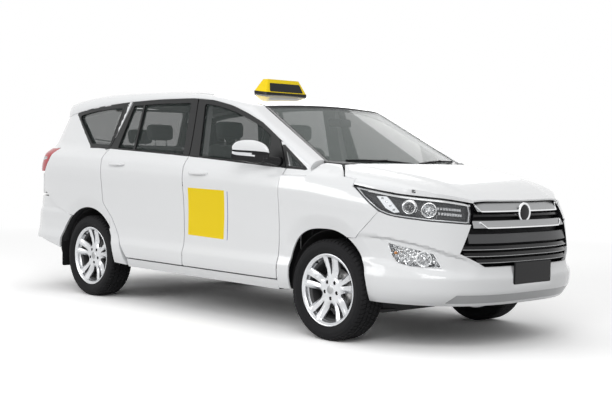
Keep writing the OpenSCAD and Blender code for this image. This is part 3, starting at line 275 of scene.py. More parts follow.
MAT["alloy"] = grain(material("alloy", (0.62, 0.63, 0.645), 0.28, 0.9, coat=0.5), 800, 0.03,
                     0.0002, (0.24, 0.34), ((0.60, 0.61, 0.625), (0.65, 0.66, 0.675)))
MAT["rubber"] = grain(material("rubber", (0.009, 0.009, 0.01), 0.8, spec=0.25), 180, 0.25, 0.0006,
                      (0.68, 0.9), ((0.007, 0.007, 0.008), (0.014, 0.014, 0.015)))
MAT["glass"] = grain(material("glass", (0.04, 0.052, 0.049), 0.03, spec=0.5, alpha=0.38), 8, 0.0,
                     0.0, (0.01, 0.04), ((0.036, 0.047, 0.044), (0.045, 0.058, 0.055)))
MAT["screen"] = grain(material("screen", (0.12, 0.15, 0.14), 0.02, spec=0.8, alpha=0.42), 6, 0.0,
                      0.0, (0.01, 0.03), ((0.11, 0.14, 0.13), (0.13, 0.16, 0.15)))
MAT["lens"] = grain(material("lens", (0.3, 0.31, 0.32), 0.02, spec=0.3, alpha=0.1), 12, 0.0,
                    0.0, (0.01, 0.03))
MAT["red_lens"] = grain(material("red_lens", (0.42, 0.006, 0.012), 0.12, spec=0.4), 90, 0.0, 0.0,
                        (0.08, 0.16), ((0.40, 0.003, 0.010), (0.52, 0.006, 0.018)))
MAT["amber"] = grain(material("amber", (0.85, 0.30, 0.03), 0.2, coat=0.5), 200, 0.0, 0.0,
                     (0.15, 0.25), ((0.8, 0.26, 0.02), (0.9, 0.36, 0.04)))
MAT["yellow"] = grain(material("yellow", (0.93, 0.68, 0.002), 0.4, spec=0.3), 350, 0.03, 0.0003,
                      (0.36, 0.46), ((0.91, 0.66, 0.002), (0.95, 0.70, 0.004)))
MAT["blue"] = grain(material("blue", (0.045, 0.055, 0.30), 0.34, coat=0.3), 350, 0.0, 0.0,
                    (0.3, 0.4), ((0.04, 0.05, 0.28), (0.05, 0.06, 0.32)))
MAT["cloth"] = grain(material("cloth", (0.13, 0.145, 0.145), 0.9, sheen=0.4), 2200, 0.5, 0.0008,
                     (0.82, 0.98), ((0.10, 0.115, 0.115), (0.17, 0.185, 0.185)))
MAT["trim"] = grain(material("trim", (0.06, 0.062, 0.064), 0.7), 1600, 0.35, 0.0006, (0.6, 0.8),
                    ((0.05, 0.052, 0.054), (0.075, 0.077, 0.079)), kind="voronoi")
MAT["carpet"] = grain(material("carpet", (0.05, 0.052, 0.055), 0.95, sheen=0.2), 3000, 0.6, 0.001,
                      (0.9, 1.0), ((0.035, 0.037, 0.04), (0.07, 0.072, 0.075)))
MAT["lamp_dark"] = grain(material("lamp_dark", (0.03, 0.031, 0.033), 0.35, spec=0.3), 500, 0.05,
                         0.0003, (0.3, 0.45), ((0.024, 0.025, 0.027), (0.038, 0.039, 0.041)))
MAT["satin_grey"] = grain(material("satin_grey", (0.30, 0.305, 0.31), 0.4, 0.6, coat=0.3), 600,
                          0.04, 0.0003, (0.34, 0.46), ((0.28, 0.285, 0.29), (0.33, 0.335, 0.34)))
MAT["grille_grey"] = grain(material("grille_grey", (0.07, 0.071, 0.073), 0.4, 0.3, spec=0.4), 600,
                           0.03, 0.0002, (0.34, 0.46), ((0.062, 0.063, 0.065), (0.08, 0.081, 0.083)))
MAT["led"] = grain(material("led", (0.9, 0.92, 0.95), 0.2, emit=((0.9, 0.95, 1.0), 0.25)), 300, 0.0,
                   0.0, (0.15, 0.25), ((0.88, 0.90, 0.93), (0.94, 0.96, 0.98)))
MAT["reflector"] = grain(material("reflector", (0.5, 0.51, 0.52), 0.12, 1.0), 60, 1.0, 0.006,
                         (0.08, 0.2), ((0.25, 0.255, 0.26), (0.62, 0.63, 0.64)), kind="voronoi")
MAT["dark_lens"] = grain(material("dark_lens", (0.02, 0.022, 0.026), 0.04, coat=1.0), 90, 0.0, 0.0,
                         (0.03, 0.06))
MAT["lining"] = grain(material("lining", (0.42, 0.42, 0.41), 0.9), 1800, 0.3, 0.0006, (0.85, 0.98),
                      ((0.39, 0.39, 0.38), (0.45, 0.45, 0.44)))
MAT["blank_plate"] = grain(material("blank_plate", (0.75, 0.75, 0.73), 0.45), 400, 0.02, 0.0002,
                           (0.4, 0.5), ((0.72, 0.72, 0.70), (0.78, 0.78, 0.76)))

# Mesh building
def add(name, verts, faces, mats, body, face_mats=None, smooth_shade=True):
    """A new piece on its body, from points in mm."""
    me = bpy.data.meshes.new(name)
    me.from_pydata([tuple(np.asarray(v, float) * 0.001) for v in verts], [], faces)
    ob = bpy.data.objects.new(name, me)
    scene.collection.objects.link(ob)
    for m in mats:
        me.materials.append(MAT[m])
    if face_mats is not None:
        me.polygons.foreach_set("material_index", face_mats)
    if smooth_shade:
        me.polygons.foreach_set("use_smooth", [True] * len(me.polygons))
    me.update()
    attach(ob, body)
    return ob


def soften(ob, width=1.5, angle=38, segments=2):
    """Round the edges and keep the faces' own shading."""
    b = ob.modifiers.new("soft", "BEVEL")
    b.width, b.segments = width / 1000, segments
    b.limit_method, b.angle_limit = "ANGLE", math.radians(angle)
    b.harden_normals = True
    return ob


def inside(points, poly):
    """Which points lie in the closed polygon."""
    px, py = points[:, 0][:, None], points[:, 1][:, None]
    a = np.asarray(poly, float)
    b = np.roll(a, -1, 0)
    cond = (a[:, 1] > py) != (b[:, 1] > py)
    with np.errstate(divide="ignore", invalid="ignore"):
        xi = (b[:, 0] - a[:, 0]) * (py - a[:, 1]) / (b[:, 1] - a[:, 1]) + a[:, 0]
    return (np.sum(cond & (px < xi), axis=1) % 2) == 1


def to_edge(points, poly, closed=True):
    """Distance of each point to a polyline."""
    a = np.asarray(poly, float)
    b = np.roll(a, -1, 0) if closed else a[1:]
    if not closed:
        a = a[:-1]
    best = np.full(len(points), 1e9)
    for p, q in zip(a, b):
        d = q - p
        t = unit(((points - p) @ d) / max(d @ d, 1e-9))
        best = np.minimum(best, np.hypot(*(points - p - t[:, None] * d).T))
    return best


def rounded(poly, r, n=5):
    """Corners of a polygon rounded; r is one radius or one for each corner."""
    out, m = [], len(poly)
    for i in range(m):
        p, a, b = (np.array(poly[k % m], float) for k in (i, i - 1, i + 1))
        ri = r[i] if isinstance(r, (list, tuple)) else r
        u, v = a - p, b - p
        lu, lv = np.linalg.norm(u), np.linalg.norm(v)
        u, v = u / lu, v / lv
        ang = math.acos(max(-1, min(1, float(u @ v))))
        if ri <= 0 or ang > math.radians(172):
            out.append(p)
            continue
        d = min(ri / math.tan(ang / 2), 0.45 * lu, 0.45 * lv)
        s, e = p + u * d, p + v * d
        for t in np.linspace(0, 1, n):
            out.append(s * (1 - t) ** 2 + 2 * p * t * (1 - t) + e * t * t)
    return out


def dense(poly, step, closed=True):
    """The outline with points no further apart than step."""
    out = []
    m = len(poly)
    for i in range(m if closed else m - 1):
        a, b = np.array(poly[i], float), np.array(poly[(i + 1) % m], float)
        k = max(1, int(math.ceil(np.linalg.norm(b - a) / step)))
        out += [a + (b - a) * j / k for j in range(k)]
    if not closed:
        out.append(np.array(poly[-1], float))
    return out


def shrink(poly, d):
    """The outline moved inwards by d, its crossed ends dropped."""
    p = np.array(dense(poly, 5))
    t = np.roll(p, -1, 0) - np.roll(p, 1, 0)
    n = np.stack([-t[:, 1], t[:, 0]], 1) / np.maximum(np.hypot(*t.T), 1e-9)[:, None]
    x, y = p.T
    if np.sum(x * np.roll(y, -1) - y * np.roll(x, -1)) < 0:
        n = -n
    q = p + n * d
    q = q[inside(q, p) & (to_edge(q, p) > d - 0.15)]
    far = np.hypot(*(q - np.roll(q, 1, 0)).T) > 0.8
    return [tuple(v) for v in q[far]]


def fill(outline, holes=(), lines=(), step=18.0, edge=None):
    """Triangles over an outline with holes, a regular grid inside, and extra cut lines.
    Gives the points and the triangles."""
    edge = edge or step
    loops = [dense(outline, edge)] + [dense(h, edge) for h in holes]
    pts, con = [], []
    for lp in loops:
        k = len(pts)
        pts += [tuple(p) for p in lp]
        con += [(k + i, k + (i + 1) % len(lp)) for i in range(len(lp))]
    for ln in lines:
        k = len(pts)
        d = dense(ln, edge, closed=False)
        pts += [tuple(p) for p in d]
        con += [(k + i, k + i + 1) for i in range(len(d) - 1)]
    o = np.array(loops[0])
    lo, hi = o.min(0), o.max(0)
    gx = np.arange(lo[0] + step / 2, hi[0], step)
    gy = np.arange(lo[1] + step / 2, hi[1], step)
    g = np.array([(x, y) for y in gy for x in gx])
    if len(g):
        g = g[inside(g, loops[0])]
        for lp in loops[1:]:
            g = g[~inside(g, lp)]
        for lp in loops:
            g = g[to_edge(g, lp) > 0.55 * step]
        for ln in lines:
            g = g[to_edge(g, ln, False) > 0.45 * step]
    pts += [tuple(p) for p in g]
    cut = delaunay_2d_cdt([Vector(p) for p in pts], con, [], 0, 1e-4)
    P = np.array([(p.x, p.y) for p in cut[0]])
    T = np.array([t for t in cut[2] if len(t) == 3])
    c = P[T].mean(1)
    keep = inside(c, loops[0])
    for lp in loops[1:]:
        keep &= ~inside(c, lp)
    T = T[keep]
    a = P[T]
    area = (a[:, 1, 0] - a[:, 0, 0]) * (a[:, 2, 1] - a[:, 0, 1]) \
        - (a[:, 2, 0] - a[:, 0, 0]) * (a[:, 1, 1] - a[:, 0, 1])
    real = np.abs(area) > 1e-6
    T = np.where((area[real] < 0)[:, None], T[real][:, ::-1], T[real])
    used = np.unique(T)
    new = -np.ones(len(P), int)
    new[used] = np.arange(len(used))
    return P[used], new[T]


def border(T):
    """Edges used once, each as in its triangle."""
    e = {(int(t[i]), int(t[(i + 1) % 3])): 1 for t in T for i in range(3)}
    return [k for k in e if (k[1], k[0]) not in e]


def panel(name, body, outline, surf, depth, mats, holes=(), lines=(), step=18.0, edge=None,
          flip=False, pick=None, soft=1.5, inner=1, replaces=(), mirror=1):
    """A closed panel: the outline filled and laid on surf(u, v) -> x, y, z arrays, with
    depth(u, v) -> dx, dy, dz to its inner face. pick(u, v) gives the outer material."""
    P, T = fill(outline, holes, lines, step, edge)
    u, v = P[:, 0], P[:, 1]
    outer = np.stack(np.broadcast_arrays(*surf(u, v)), 1).astype(float)
    if flip:
        T = T[:, ::-1]
    n = len(P)
    c = P[T].mean(1)
    fm = list(pick(c[:, 0], c[:, 1]).astype(int)) if pick is not None else [0] * len(T)
    faces = [tuple(int(i) for i in t) for t in T]
    d = np.stack(np.broadcast_arrays(*depth(u, v)), 1).astype(float)
    verts = np.vstack([outer, outer + d])
    faces += [tuple(int(i) + n for i in t[::-1]) for t in T]
    fm += [inner] * len(T)
    edges = border(T)
    mid = (P[[a for a, b in edges]] + P[[b for a, b in edges]]) / 2
    side = pick(mid[:, 0], mid[:, 1]).astype(int) if pick is not None else [0] * len(edges)
    for (a, b), m in zip(edges, side):
        faces.append((b, a, a + n, b + n))
        fm.append(int(m))
    if mirror < 0:
        verts = verts * np.array([1, -1, 1])
        faces = [f[::-1] for f in faces]
    ob = add(name, verts, faces, mats, body, fm)
    if soft:
        soften(ob, soft)
    if replaces:
        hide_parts(*replaces)
    return ob


# Arc length along the nose and the tail, so that panels unroll without stretching
def unroll(at, reach_z):
    s = np.concatenate([np.linspace(0, 0.9, 90), 1 - np.linspace(0.1, 0.0001, 140)])
    x, y = at(s, np.full_like(s, reach_z))
    a = np.concatenate([[0], np.cumsum(np.hypot(np.diff(x), np.diff(y)))])
    return (lambda v: np.interp(np.abs(v), s, a) * np.sign(v),
            lambda v: np.interp(np.abs(v), a, s) * np.sign(v))


nose_a, nose_s = unroll(nose_at, 450.0)
tail_a, tail_s = unroll(tail_at, 600.0)


def nose_side(x, z):
    """Unrolled place of the side-view point (x, z)."""
    return float(nose_a((1 - min(1, x / float(nose_reach(z))) ** NOSE_P) ** (1 / NOSE_Q)))


def nose_front(y, z):
    """Unrolled place of the front-view point (y, z)."""
    s = 0.0
    for _ in range(5):
        x = float(nose_reach(z)) * (1 - abs(s) ** NOSE_Q) ** (1 / NOSE_P)
        s = max(-0.9999, min(0.9999, y / (HALF_W - float(inset(x, z)))))
    return float(nose_a(s))


def tail_side(x, z):
    return float(tail_a((1 - min(1, -x / float(tail_reach(z))) ** TAIL_P) ** (1 / TAIL_Q)))


def tail_rear(y, z):
    s = 0.0
    for _ in range(5):
        x = -float(tail_reach(z)) * (1 - abs(s) ** TAIL_Q) ** (1 / TAIL_P)
        s = max(-0.9999, min(0.9999, y / float(half_at(x, z))))
    return float(tail_a(s))


def nose_normal(x, y, z):
    r = nose_reach(z)
    nx = NOSE_P / r * unit(np.abs(x) / r) ** (NOSE_P - 1)
    ny = NOSE_Q / HALF_W * unit(np.abs(y) / HALF_W) ** (NOSE_Q - 1) * np.sign(y)
    m = np.hypot(nx, ny)
    return nx / m, ny / m


def tail_normal(x, y, z):
    r = tail_reach(z)
    nx = -TAIL_P / r * unit(np.abs(x) / r) ** (TAIL_P - 1)
    ny = TAIL_Q / HALF_W * unit(np.abs(y) / HALF_W) ** (TAIL_Q - 1) * np.sign(y)
    m = np.hypot(nx, ny)
    return nx / m, ny / m


def nose_surf(sink=0.0, relief=None):
    """The nose, for a panel drawn in (arc length, z)."""
    def f(a, z):
        x, y = nose_at(nose_s(a), z)
        nx, ny = nose_normal(x, y, z)
        d = sink + (relief(a, z) if relief else 0)
        return x - nx * d, y - ny * d, z
    return f


def tail_surf(sink=0.0):
    """The tail, for a panel drawn in (arc length, z)."""
    def f(a, z):
        x, y = tail_at(tail_s(a), z)
        nx, ny = tail_normal(x, y, z)
        return x - nx * sink, y - ny * sink, z
    return f


def nose_depth(t):
    def f(a, z):
        x, y = nose_at(nose_s(a), z)
        nx, ny = nose_normal(x, y, z)
        return -nx * t, -ny * t, np.zeros_like(x)
    return f


def tail_depth(t):
    def f(a, z):
        x, y = tail_at(tail_s(a), z)
        nx, ny = tail_normal(x, y, z)
        return -nx * t, -ny * t, np.zeros_like(x)
    return f


def side_surf(sink=0.0):
    """The body side, for a panel drawn in (x, z)."""
    return lambda x, z: (x, body_y(x, z) - sink, z)


def in_y(t):
    """Inner face t mm inboard; t may depend on the height."""
    return lambda u, v: (0 * u, -(t(v) if callable(t) else t) + 0 * u, 0 * u)


def in_z(t):
    """Inner face t mm below; t may depend on x."""
    return lambda u, v: (0 * u, 0 * u, -(t(u) if callable(t) else t) + 0 * u)


# Doors
FRONT_EDGE = table([[300, 962], [360, 962], [1092, 969], [1300, 850], [1420, 640]], True)
B_LINE = table([[300, -67], [360, -67], [1163, -80], [1620, -134]])
REAR_EDGE = table([[363, -792], [490, -888], [656, -1007], [775, -1135], [1182, -1149],
                   [1620, -951]], True)
DOOR_Z0 = 362.0


def wall_t(z):
    """Thickness of a door: its lower part is deeper than its window frame."""
    return mix(55.0, 30.0, unit((z - 1060) / 70))


def window(key, c=0, w=32):
    """Outline of a window, as in the CAD source: c inside its hole, w below the rail."""
    _, rear, front, n, r = WINDOWS[key]
    low = [(x, float(belt_z(x)) + 14 + c) for x in (front[0] - c, rear[0] + c)]
    top = [(x, float(rail_z(x)) - w - c) for x in np.linspace(rear[1] + c, front[1] - c, n)]
    rr = [r[0], r[1], r[2]] + [0] * (len(top) - 2) + [r[3]]
    return rounded(low + top, rr)


def belt_line(x0, x1, up):
    return [(x, float(belt_z(x)) + up) for x in np.linspace(x0, x1, 24)]


# door, its window's rear and front edge at the belt and at the top, points along the top, radii
WINDOWS = {"front": ("front", (36, -40), (778, 760), 14, (14, 14, 20, 20)),
           "rear_a": ("rear", (-1028, -941), (-808, -819), 5, (10, 12, 16, 8)),
           "rear_b": ("rear", (-786, -797), (-156, -211), 9, (12, 8, 8, 14))}
HINGE_Y = 895.5
HINGES = {"front": 918.265, "rear": -112.795}
STRAP_Z = (440, 960)  # heights of each door's two hinges


def pocket_lines(x):
    """Cut lines round the pockets behind the skin where the hinge straps lie."""
    out = []
    for z in STRAP_Z:
        for e in (0, 1):
            out.append([(x - 17 - e, z - 16 - e), (x + 38, z - 16 - e)])
            out.append([(x - 17 - e, z + 16 + e), (x + 38, z + 16 + e)])
            out.append([(x - 17 - e, z - 16 - e), (x - 17 - e, z + 16 + e)])
    return out


def door_depth(hinge):
    """Thickness of a door, thin at its hinge pockets."""
    def f(x, z):
        d = -wall_t(z)
        for hz in STRAP_Z:
            near = (x > hinge - 17.5) & (np.abs(z - hz) < 16.5)
            d = np.where(near, HINGE_Y + 10.5 - body_y(x, z), d)
        return 0 * x, d, 0 * x
    return f


SQUARE = [(-14, 937), (-25, 591), (383, 584), (402, 932)]
STRIPE = [(432, 926), (419, 580), (425, 580), (438, 926)]


def build_doors():
    for name, s in SIDES:
        o = [(float(B_LINE(z)) + G, z) for z in np.linspace(DOOR_Z0, 1560, 26)]
        o += [(x, float(rail_z(x))) for x in np.linspace(float(B_LINE(1590)) + G + 2, 838, 40)]
        o += [(float(FRONT_EDGE(z)) - G, z) for z in np.linspace(1292, DOOR_Z0, 24)]
        o = rounded(o, [10] + [0] * 24 + [20] + [0] * (len(o) - 28) + [8, 10], 4)
        bl = belt_line(-90, 972, 6)
        deco = [SQUARE + [SQUARE[0]], STRIPE + [STRIPE[0]]]

        def pick(x, z):
            m = np.where(z > belt_z(x) + 6, 1, 0)
            p = np.stack([x, z], 1)
            m = np.where(inside(p, SQUARE), 3, m)
            return np.where(inside(p, STRIPE), 4, m)

        panel("door_front_%s_shell" % name, "door_front_" + name, o, side_surf(),
              door_depth(HINGES["front"]), ["paint", "frame_black", "trim", "yellow", "blue"],
              holes=[window("front")], lines=[bl] + deco + pocket_lines(HINGES["front"]), step=16,
              edge=14, pick=pick, inner=2, mirror=s, replaces=["door_front_" + name],
              flip=True)
        o = [(float(REAR_EDGE(z)) + G, z) for z in (DOOR_Z0, 490, 656, 775, 1000, 1182, 1400)]
        top0 = float(REAR_EDGE(float(rail_z(-975)))) + G
        o += [(x, float(rail_z(x))) for x in np.linspace(top0, -137, 30)]
        o += [(float(B_LINE(z)) - G - 1, z) for z in np.linspace(1560, DOOR_Z0, 26)]
        o = rounded(o, [10, 60, 90, 60, 0, 40, 0, 22] + [0] * 28 + [20] + [0] * 25 + [10], 6)
        panel("door_rear_%s_shell" % name, "door_rear_" + name, o, side_surf(),
              door_depth(HINGES["rear"]), ["paint", "frame_black", "trim"],
              holes=[window("rear_a"), window("rear_b")],
              lines=[belt_line(-1140, -90, 6)] + pocket_lines(HINGES["rear"]), step=16, edge=14,
              pick=lambda x, z: np.where(z > belt_z(x) + 6, 1, 0), inner=2, mirror=s,
              replaces=["door_rear_" + name], flip=True)


def build_glass():
    for name, s in SIDES:
        for key, row in WINDOWS.items():
            first = ["glass_%s_%s" % (row[0], name)] if key != "rear_b" else ()
            panel("pane_%s_%s" % (key, name), "door_%s_%s" % (row[0], name), window(key, 1),
                  side_surf(10), in_y(5), ["glass", "glass"], step=40, edge=16, mirror=s, soft=0,
                  flip=True, replaces=first)


QUARTER_WINDOW = [(-1735, 1478), (-1418, 1245), (-1152, 1236), (-1090, 1543), (-1300, 1529),
                  (-1500, 1513)]
FRONT_QUARTER = [(988, 1120), (1118, 1112), (930, 1220)]


def arc(cx, cz, r, a0, a1, n):
    return [(cx + r * math.cos(math.radians(a)), cz + r * math.sin(math.radians(a)))
            for a in np.linspace(a0, a1, n)]


ARCH_POWER = (3.0, 2.05)  # roundness behind and ahead of the front axle


def front_arc(a0, a1, n):
    """The front arch, taller than a circle and fuller behind than in front."""
    out = []
    for a in np.radians(np.linspace(a0, a1, n)):
        c, d = math.cos(a), math.sin(a)
        if d > 0:
            e = 2 / ARCH_POWER[c > 0]
            out.append((FRONT_X + FRONT_ARCH * math.copysign(abs(c) ** e, c),
                        AXLE_Z + ARCH_TOP * d ** e))
        else:
            out.append((FRONT_X + FRONT_ARCH * c, AXLE_Z + FRONT_ARCH * d))
    return out


def front_flare(x, z):
    """Depth of the band round the front arch, deepest at its edge."""
    u, v = np.abs(x - FRONT_X) / FRONT_ARCH, np.maximum(z - AXLE_Z, 0) / ARCH_TOP
    e = np.where(x > FRONT_X, ARCH_POWER[1], ARCH_POWER[0])
    away = ((u ** e + v ** e) ** (1 / e) - 1) * 370
    return 15 * (1 - unit(away / 82)) ** 1.2


def rear_flare(x, z):
    """Depth of the band round the rear arch, deepest at its edge."""
    away = np.hypot(x - REAR_MID, z - AXLE_Z) - REAR_ARCH
    return 15 * (1 - unit(away / 84)) ** 1.2 * (x < -1040)


def build_quarters():
    qw = rounded(QUARTER_WINDOW, [25, 40, 20, 30, 0, 0], 7)
    for name, s in SIDES:
        end = lambda z: -0.953 * float(tail_reach(z))
        o = [(float(REAR_EDGE(z)) - G, z) for z in (363, 490, 656, 775, 1000, 1182, 1400)]
        o[0] = (float(REAR_EDGE(363)) - G - 8, 300)
        o += [(x, float(rail_z(x)) + 1) for x in np.linspace(-985, -2035, 40)]
        o += [(end(z), z) for z in np.linspace(1440, 1212, 12)]
        o += [(-1893, 1205), (-1970, 1090), (-2034, 1000), (-2058, 850), (-1850, 720), (-1650, 655)]
        arch = arc(REAR_MID, AXLE_Z, REAR_ARCH, 135, -5, 70)
        o += [p for p in arch if -1606 < p[0] < 0]
        o = o[:-1]
        keep = [p for p in o if p[1] > 288]
        rr = [0, 60, 90, 60, 0, 40] + [0] * (len(keep) - 6)
        keep = rounded(keep, rr, 6)
        ring = rounded([(-1792, 1503), (-1424, 1215), (-1140, 1204), (-1150, 1222), (-1070, 1572),
                        (-1300, 1556), (-1500, 1541)], [12, 30, 8, 0, 14, 0, 0], 6)
        dark = [(-1792, 1503), (-1424, 1215), (-1130, 1200), (-1000, 1640), (-1300, 1556),
                (-1500, 1541)]
        panel("quarter_%s_shell" % name, "body", keep,
              lambda x, z: (x, body_y(x, z) - rear_flare(x, z), z),
              lambda x, z: (0 * x, -np.where(z > 1130, 40, 55) + 0 * x, 0 * x),
              ["paint", "trim", "frame_black"], holes=[qw], step=17, edge=13, mirror=s,
              replaces=["quarter_panel_" + name], flip=True, inner=1,
              pick=lambda x, z: np.where(inside(np.stack([x, z], 1), dark), 2, 0))
        # black band round the quarter window, and its pane
        panel("quarter_band_" + name, "body", ring, side_surf(-1.2), in_y(3.0),
              ["frame_black", "frame_black"], holes=[qw], step=24, edge=12, mirror=s, soft=0.6,
              flip=True)
        panel("quarter_pane_" + name, "body", qw, side_surf(10), in_y(5), ["glass", "glass"],
              step=40, edge=16, mirror=s, soft=0, flip=True, replaces=["quarter_glass"] if s > 0 else ())
        panel("cowl_pane_" + name, "body", FRONT_QUARTER, side_surf(8), in_y(5),
              ["glass", "glass"], step=40, edge=16, mirror=s, soft=0, flip=True)
        panel("cowl_band_" + name, "body", rounded([(972, 1098), (1185, 1087), (905, 1262),
                                                    (880, 1262)], [6, 14, 8, 4]),
              side_surf(-1.5), in_y(3.0), ["frame_black", "frame_black"],
              holes=[FRONT_QUARTER], step=24, edge=10, mirror=s, soft=0.6, flip=True)


def build_liners():
    """Black skin inside each rear arch, from the wheelhouse to the quarter panel."""
    for name, s in SIDES:
        rows = []
        for a in np.linspace(97, 186, 40):
            (x0, z0), (x1, z1) = (polar(REAR_ARCH + d, a) for d in (-1, 3))
            deep = [float(body_y(REAR_MID + x0, AXLE_Z + z0)) - 17, 690.0]
            rows.append([(REAR_MID + x0, deep[0], AXLE_Z + z0), (REAR_MID + x0, deep[1], AXLE_Z + z0),
                         (REAR_MID + x1, deep[1], AXLE_Z + z1), (REAR_MID + x1, deep[0], AXLE_Z + z1)])
        sweep("arch_liner_" + name, rows, ["black_satin"], "body", mirror=s)


# Fender: its half section runs up the side and over to the hood's edge
def fender_top_y(x):
    return np.interp(x, [960, 1195, 1230, 1345, 1505, 1600, 1900],
                     [868, 850, 716, 703, 842, 856, 880])


def fender_map(x, v):
    """Point of the fender at x; v is the height on the side, then the way over the top."""
    x, v = np.broadcast_arrays(np.asarray(x, float), np.asarray(v, float))
    k = smooth((x - 1195) / 30)
    zs = mix(1062, shoulder_z(x), k)
    edge = body_y(x, shoulder_z(x) - 70) * 0.952
    side = lambda z: (HALF_W - inset(x, z)) * plan(x, z)
    z1 = zs - 34
    y1 = side(z1)
    t = unit((v - z1) / 150)
    yt = mix(y1 - 26, np.minimum(fender_top_y(x) + G, edge - 2), k)
    zt = mix(1063, hood_z(x, yt), k)
    dz = side(z1) - side(z1 - 6)
    y2, z2 = y1 + dz / 6 * 30, z1 + 30
    e = np.minimum(edge * 0.992, y1 - 8)
    yc = mix(y1 - 3, e, k)
    zc = mix(1060, hood_z(x, e), k)
    over_y = (1 - t) ** 3 * y1 + 3 * (1 - t) ** 2 * t * y2 + 3 * (1 - t) * t * t * yc + t ** 3 * yt
    over_z = (1 - t) ** 3 * z1 + 3 * (1 - t) ** 2 * t * z2 + 3 * (1 - t) * t * t * zc + t ** 3 * zt
    low = v <= z1
    return x, np.where(low, side(np.minimum(v, z1)), over_y), np.where(low, v, over_z)


def fender_top_v(x):
    k = float(smooth((x - 1195) / 30))
    return mix(1062, float(shoulder_z(x)), k) - 34 + 150


def build_fenders():
    for name, s in SIDES:
        o = [(968, z) for z in np.linspace(300, 1100, 20)]
        o += [(x, fender_top_v(x)) for x in np.linspace(968, 1590, 60)]
        o += [(1597, 1010), (1812, 857), (1632, 681)]
        o += [p for p in front_arc(61.0, 185, 80) if p[1] > 300][1:]
        o += [(1060, 300)]
        for d in range(len(o) - 1, 0, -1):
            if np.hypot(o[d][0] - o[d - 1][0], o[d][1] - o[d - 1][1]) < 1:
                o.pop(d)

        def flared(x, v):
            x, y, z = fender_map(x, v)
            return x, y - front_flare(x, z), z

        panel("fender_%s_shell" % name, "body", o, flared, in_y(11.0), ["paint", "trim"],
              step=14, edge=10, mirror=s, replaces=["fender_" + name], flip=True)


# Hood, roof, rails and windscreen
HOOD = [(1445, 0), (1425, 350), (1386, 560), (1362, 688), (1374, 698), (1505, 833), (1600, 848),
        (1760, 822), (1927, 760), (2090, 640), (2238, 445), (2262, 200), (2268, 0)]


def hood_relief(x, y):
    crest = np.interp(x, [1340, 1700, 2050, 2270], [640, 590, 500, 430])
    ends = smooth((x - 1330) / 120) * smooth((2290 - x) / 200)
    return 9 * ends * (smooth((crest - np.abs(y)) / 70) - 1)


def hood_surf(x, y):
    y = np.asarray(y, float)
    ye = body_y(x, shoulder_z(x) - 70) * 0.952 * 0.985
    yy = np.clip(y, -ye, ye)
    return x, yy, hood_z(x, yy) + hood_relief(x, yy)


def build_hood():
    half = rounded([(x, max(0, y - G)) for x, y in HOOD], [0, 0, 0, 6, 6, 30, 0, 0, 0, 0, 40, 60, 0])
    o = [tuple(p) for p in half] + [(p[0], -p[1]) for p in half[-2:0:-1]]
    panel("hood_shell", "hood", o, hood_surf,
          in_z(lambda x: mix(21, 10, unit((x - 2120) / 110))), ["paint", "underbody"], step=18,
          edge=12, replaces=["hood"])
    # turned-down edge over the lamps
    c = np.linspace(0.50, 0.959, 200)
    lx, ly = nose_at(c, LAMP_TOP(c))
    path = dense(HOOD[6:11], 14, False)
    for name, s in SIDES:
        st = []
        for x, y in path:
            k = int(np.hypot(lx - x, ly - y).argmin())
            tx, ty, tz = (float(q) for q in hood_surf(float(x), float(y) - G))
            zb = min(float(LAMP_TOP(c[k])) + 5.5, tz - 3)
            top, low = np.array([tx, ty - 1, tz - 0.6]), np.array([x, y - G, zb])
            mid = np.array([x, y - G, mix(tz, zb, 0.3)])
            row = [top * (1 - t) ** 2 + 2 * mid * t * (1 - t) + low * t * t
                   for t in np.linspace(0, 1, 5)]
            back = np.array([-5.0, -5.0, 0])
            st.append([tuple(v) for v in row + [low + back, top + back - [0, 0, 6]]])
        sweep("hood_edge_" + name, st, ["paint"], "hood", mirror=s, soft=0.8)


def rear_roof_x(y):
    s = np.abs(y) / half_at(-2000.0, 1580.0)
    return -tail_reach(1580.0) * (1 - s ** TAIL_Q) ** (1 / TAIL_P) + 59


def build_roof():
    w = 584.0
    front = [(527 - 72 * (y / 596) ** 2 - 2, y) for y in np.linspace(-w, w, 40)]
    rear = [(float(rear_roof_x(y)), y) for y in np.linspace(w, -w, 40)]
    panel("roof_shell", "body", rounded(front + rear, [8] + [0] * 38 + [8, 8] + [0] * 38 + [8]),
          lambda x, y: (x, y, roof_z(x, y)), in_z(32), ["paint", "trim"], step=26, edge=16,
          replaces=["roof"], soft=2.0)
    for name, s in SIDES:
        xs = np.linspace(-1950, 452, 80)
        V, F = [], []
        for x in xs:
            for y, dz in ((583, -1), (584.5, 1.2), (589, 1.2), (591, -1)):
                V.append((x, y * s, float(roof_z(x, y)) + dz))
        for i in range(len(xs) - 1):
            for j in range(3):
                a = i * 4 + j
                F.append((a, a + 1, a + 5, a + 4))
        add("roof_ditch_" + name, V, F if s < 0 else [f[::-1] for f in F], ["black_satin"], "body")


def pillar_top(x):
    return (np.where(x < 455, 590.0, 596 + (x - 455) * 0.1434),
            np.where(x < 455, roof_z(x, 590.0), 1540 - (x - 455) * 0.5158))


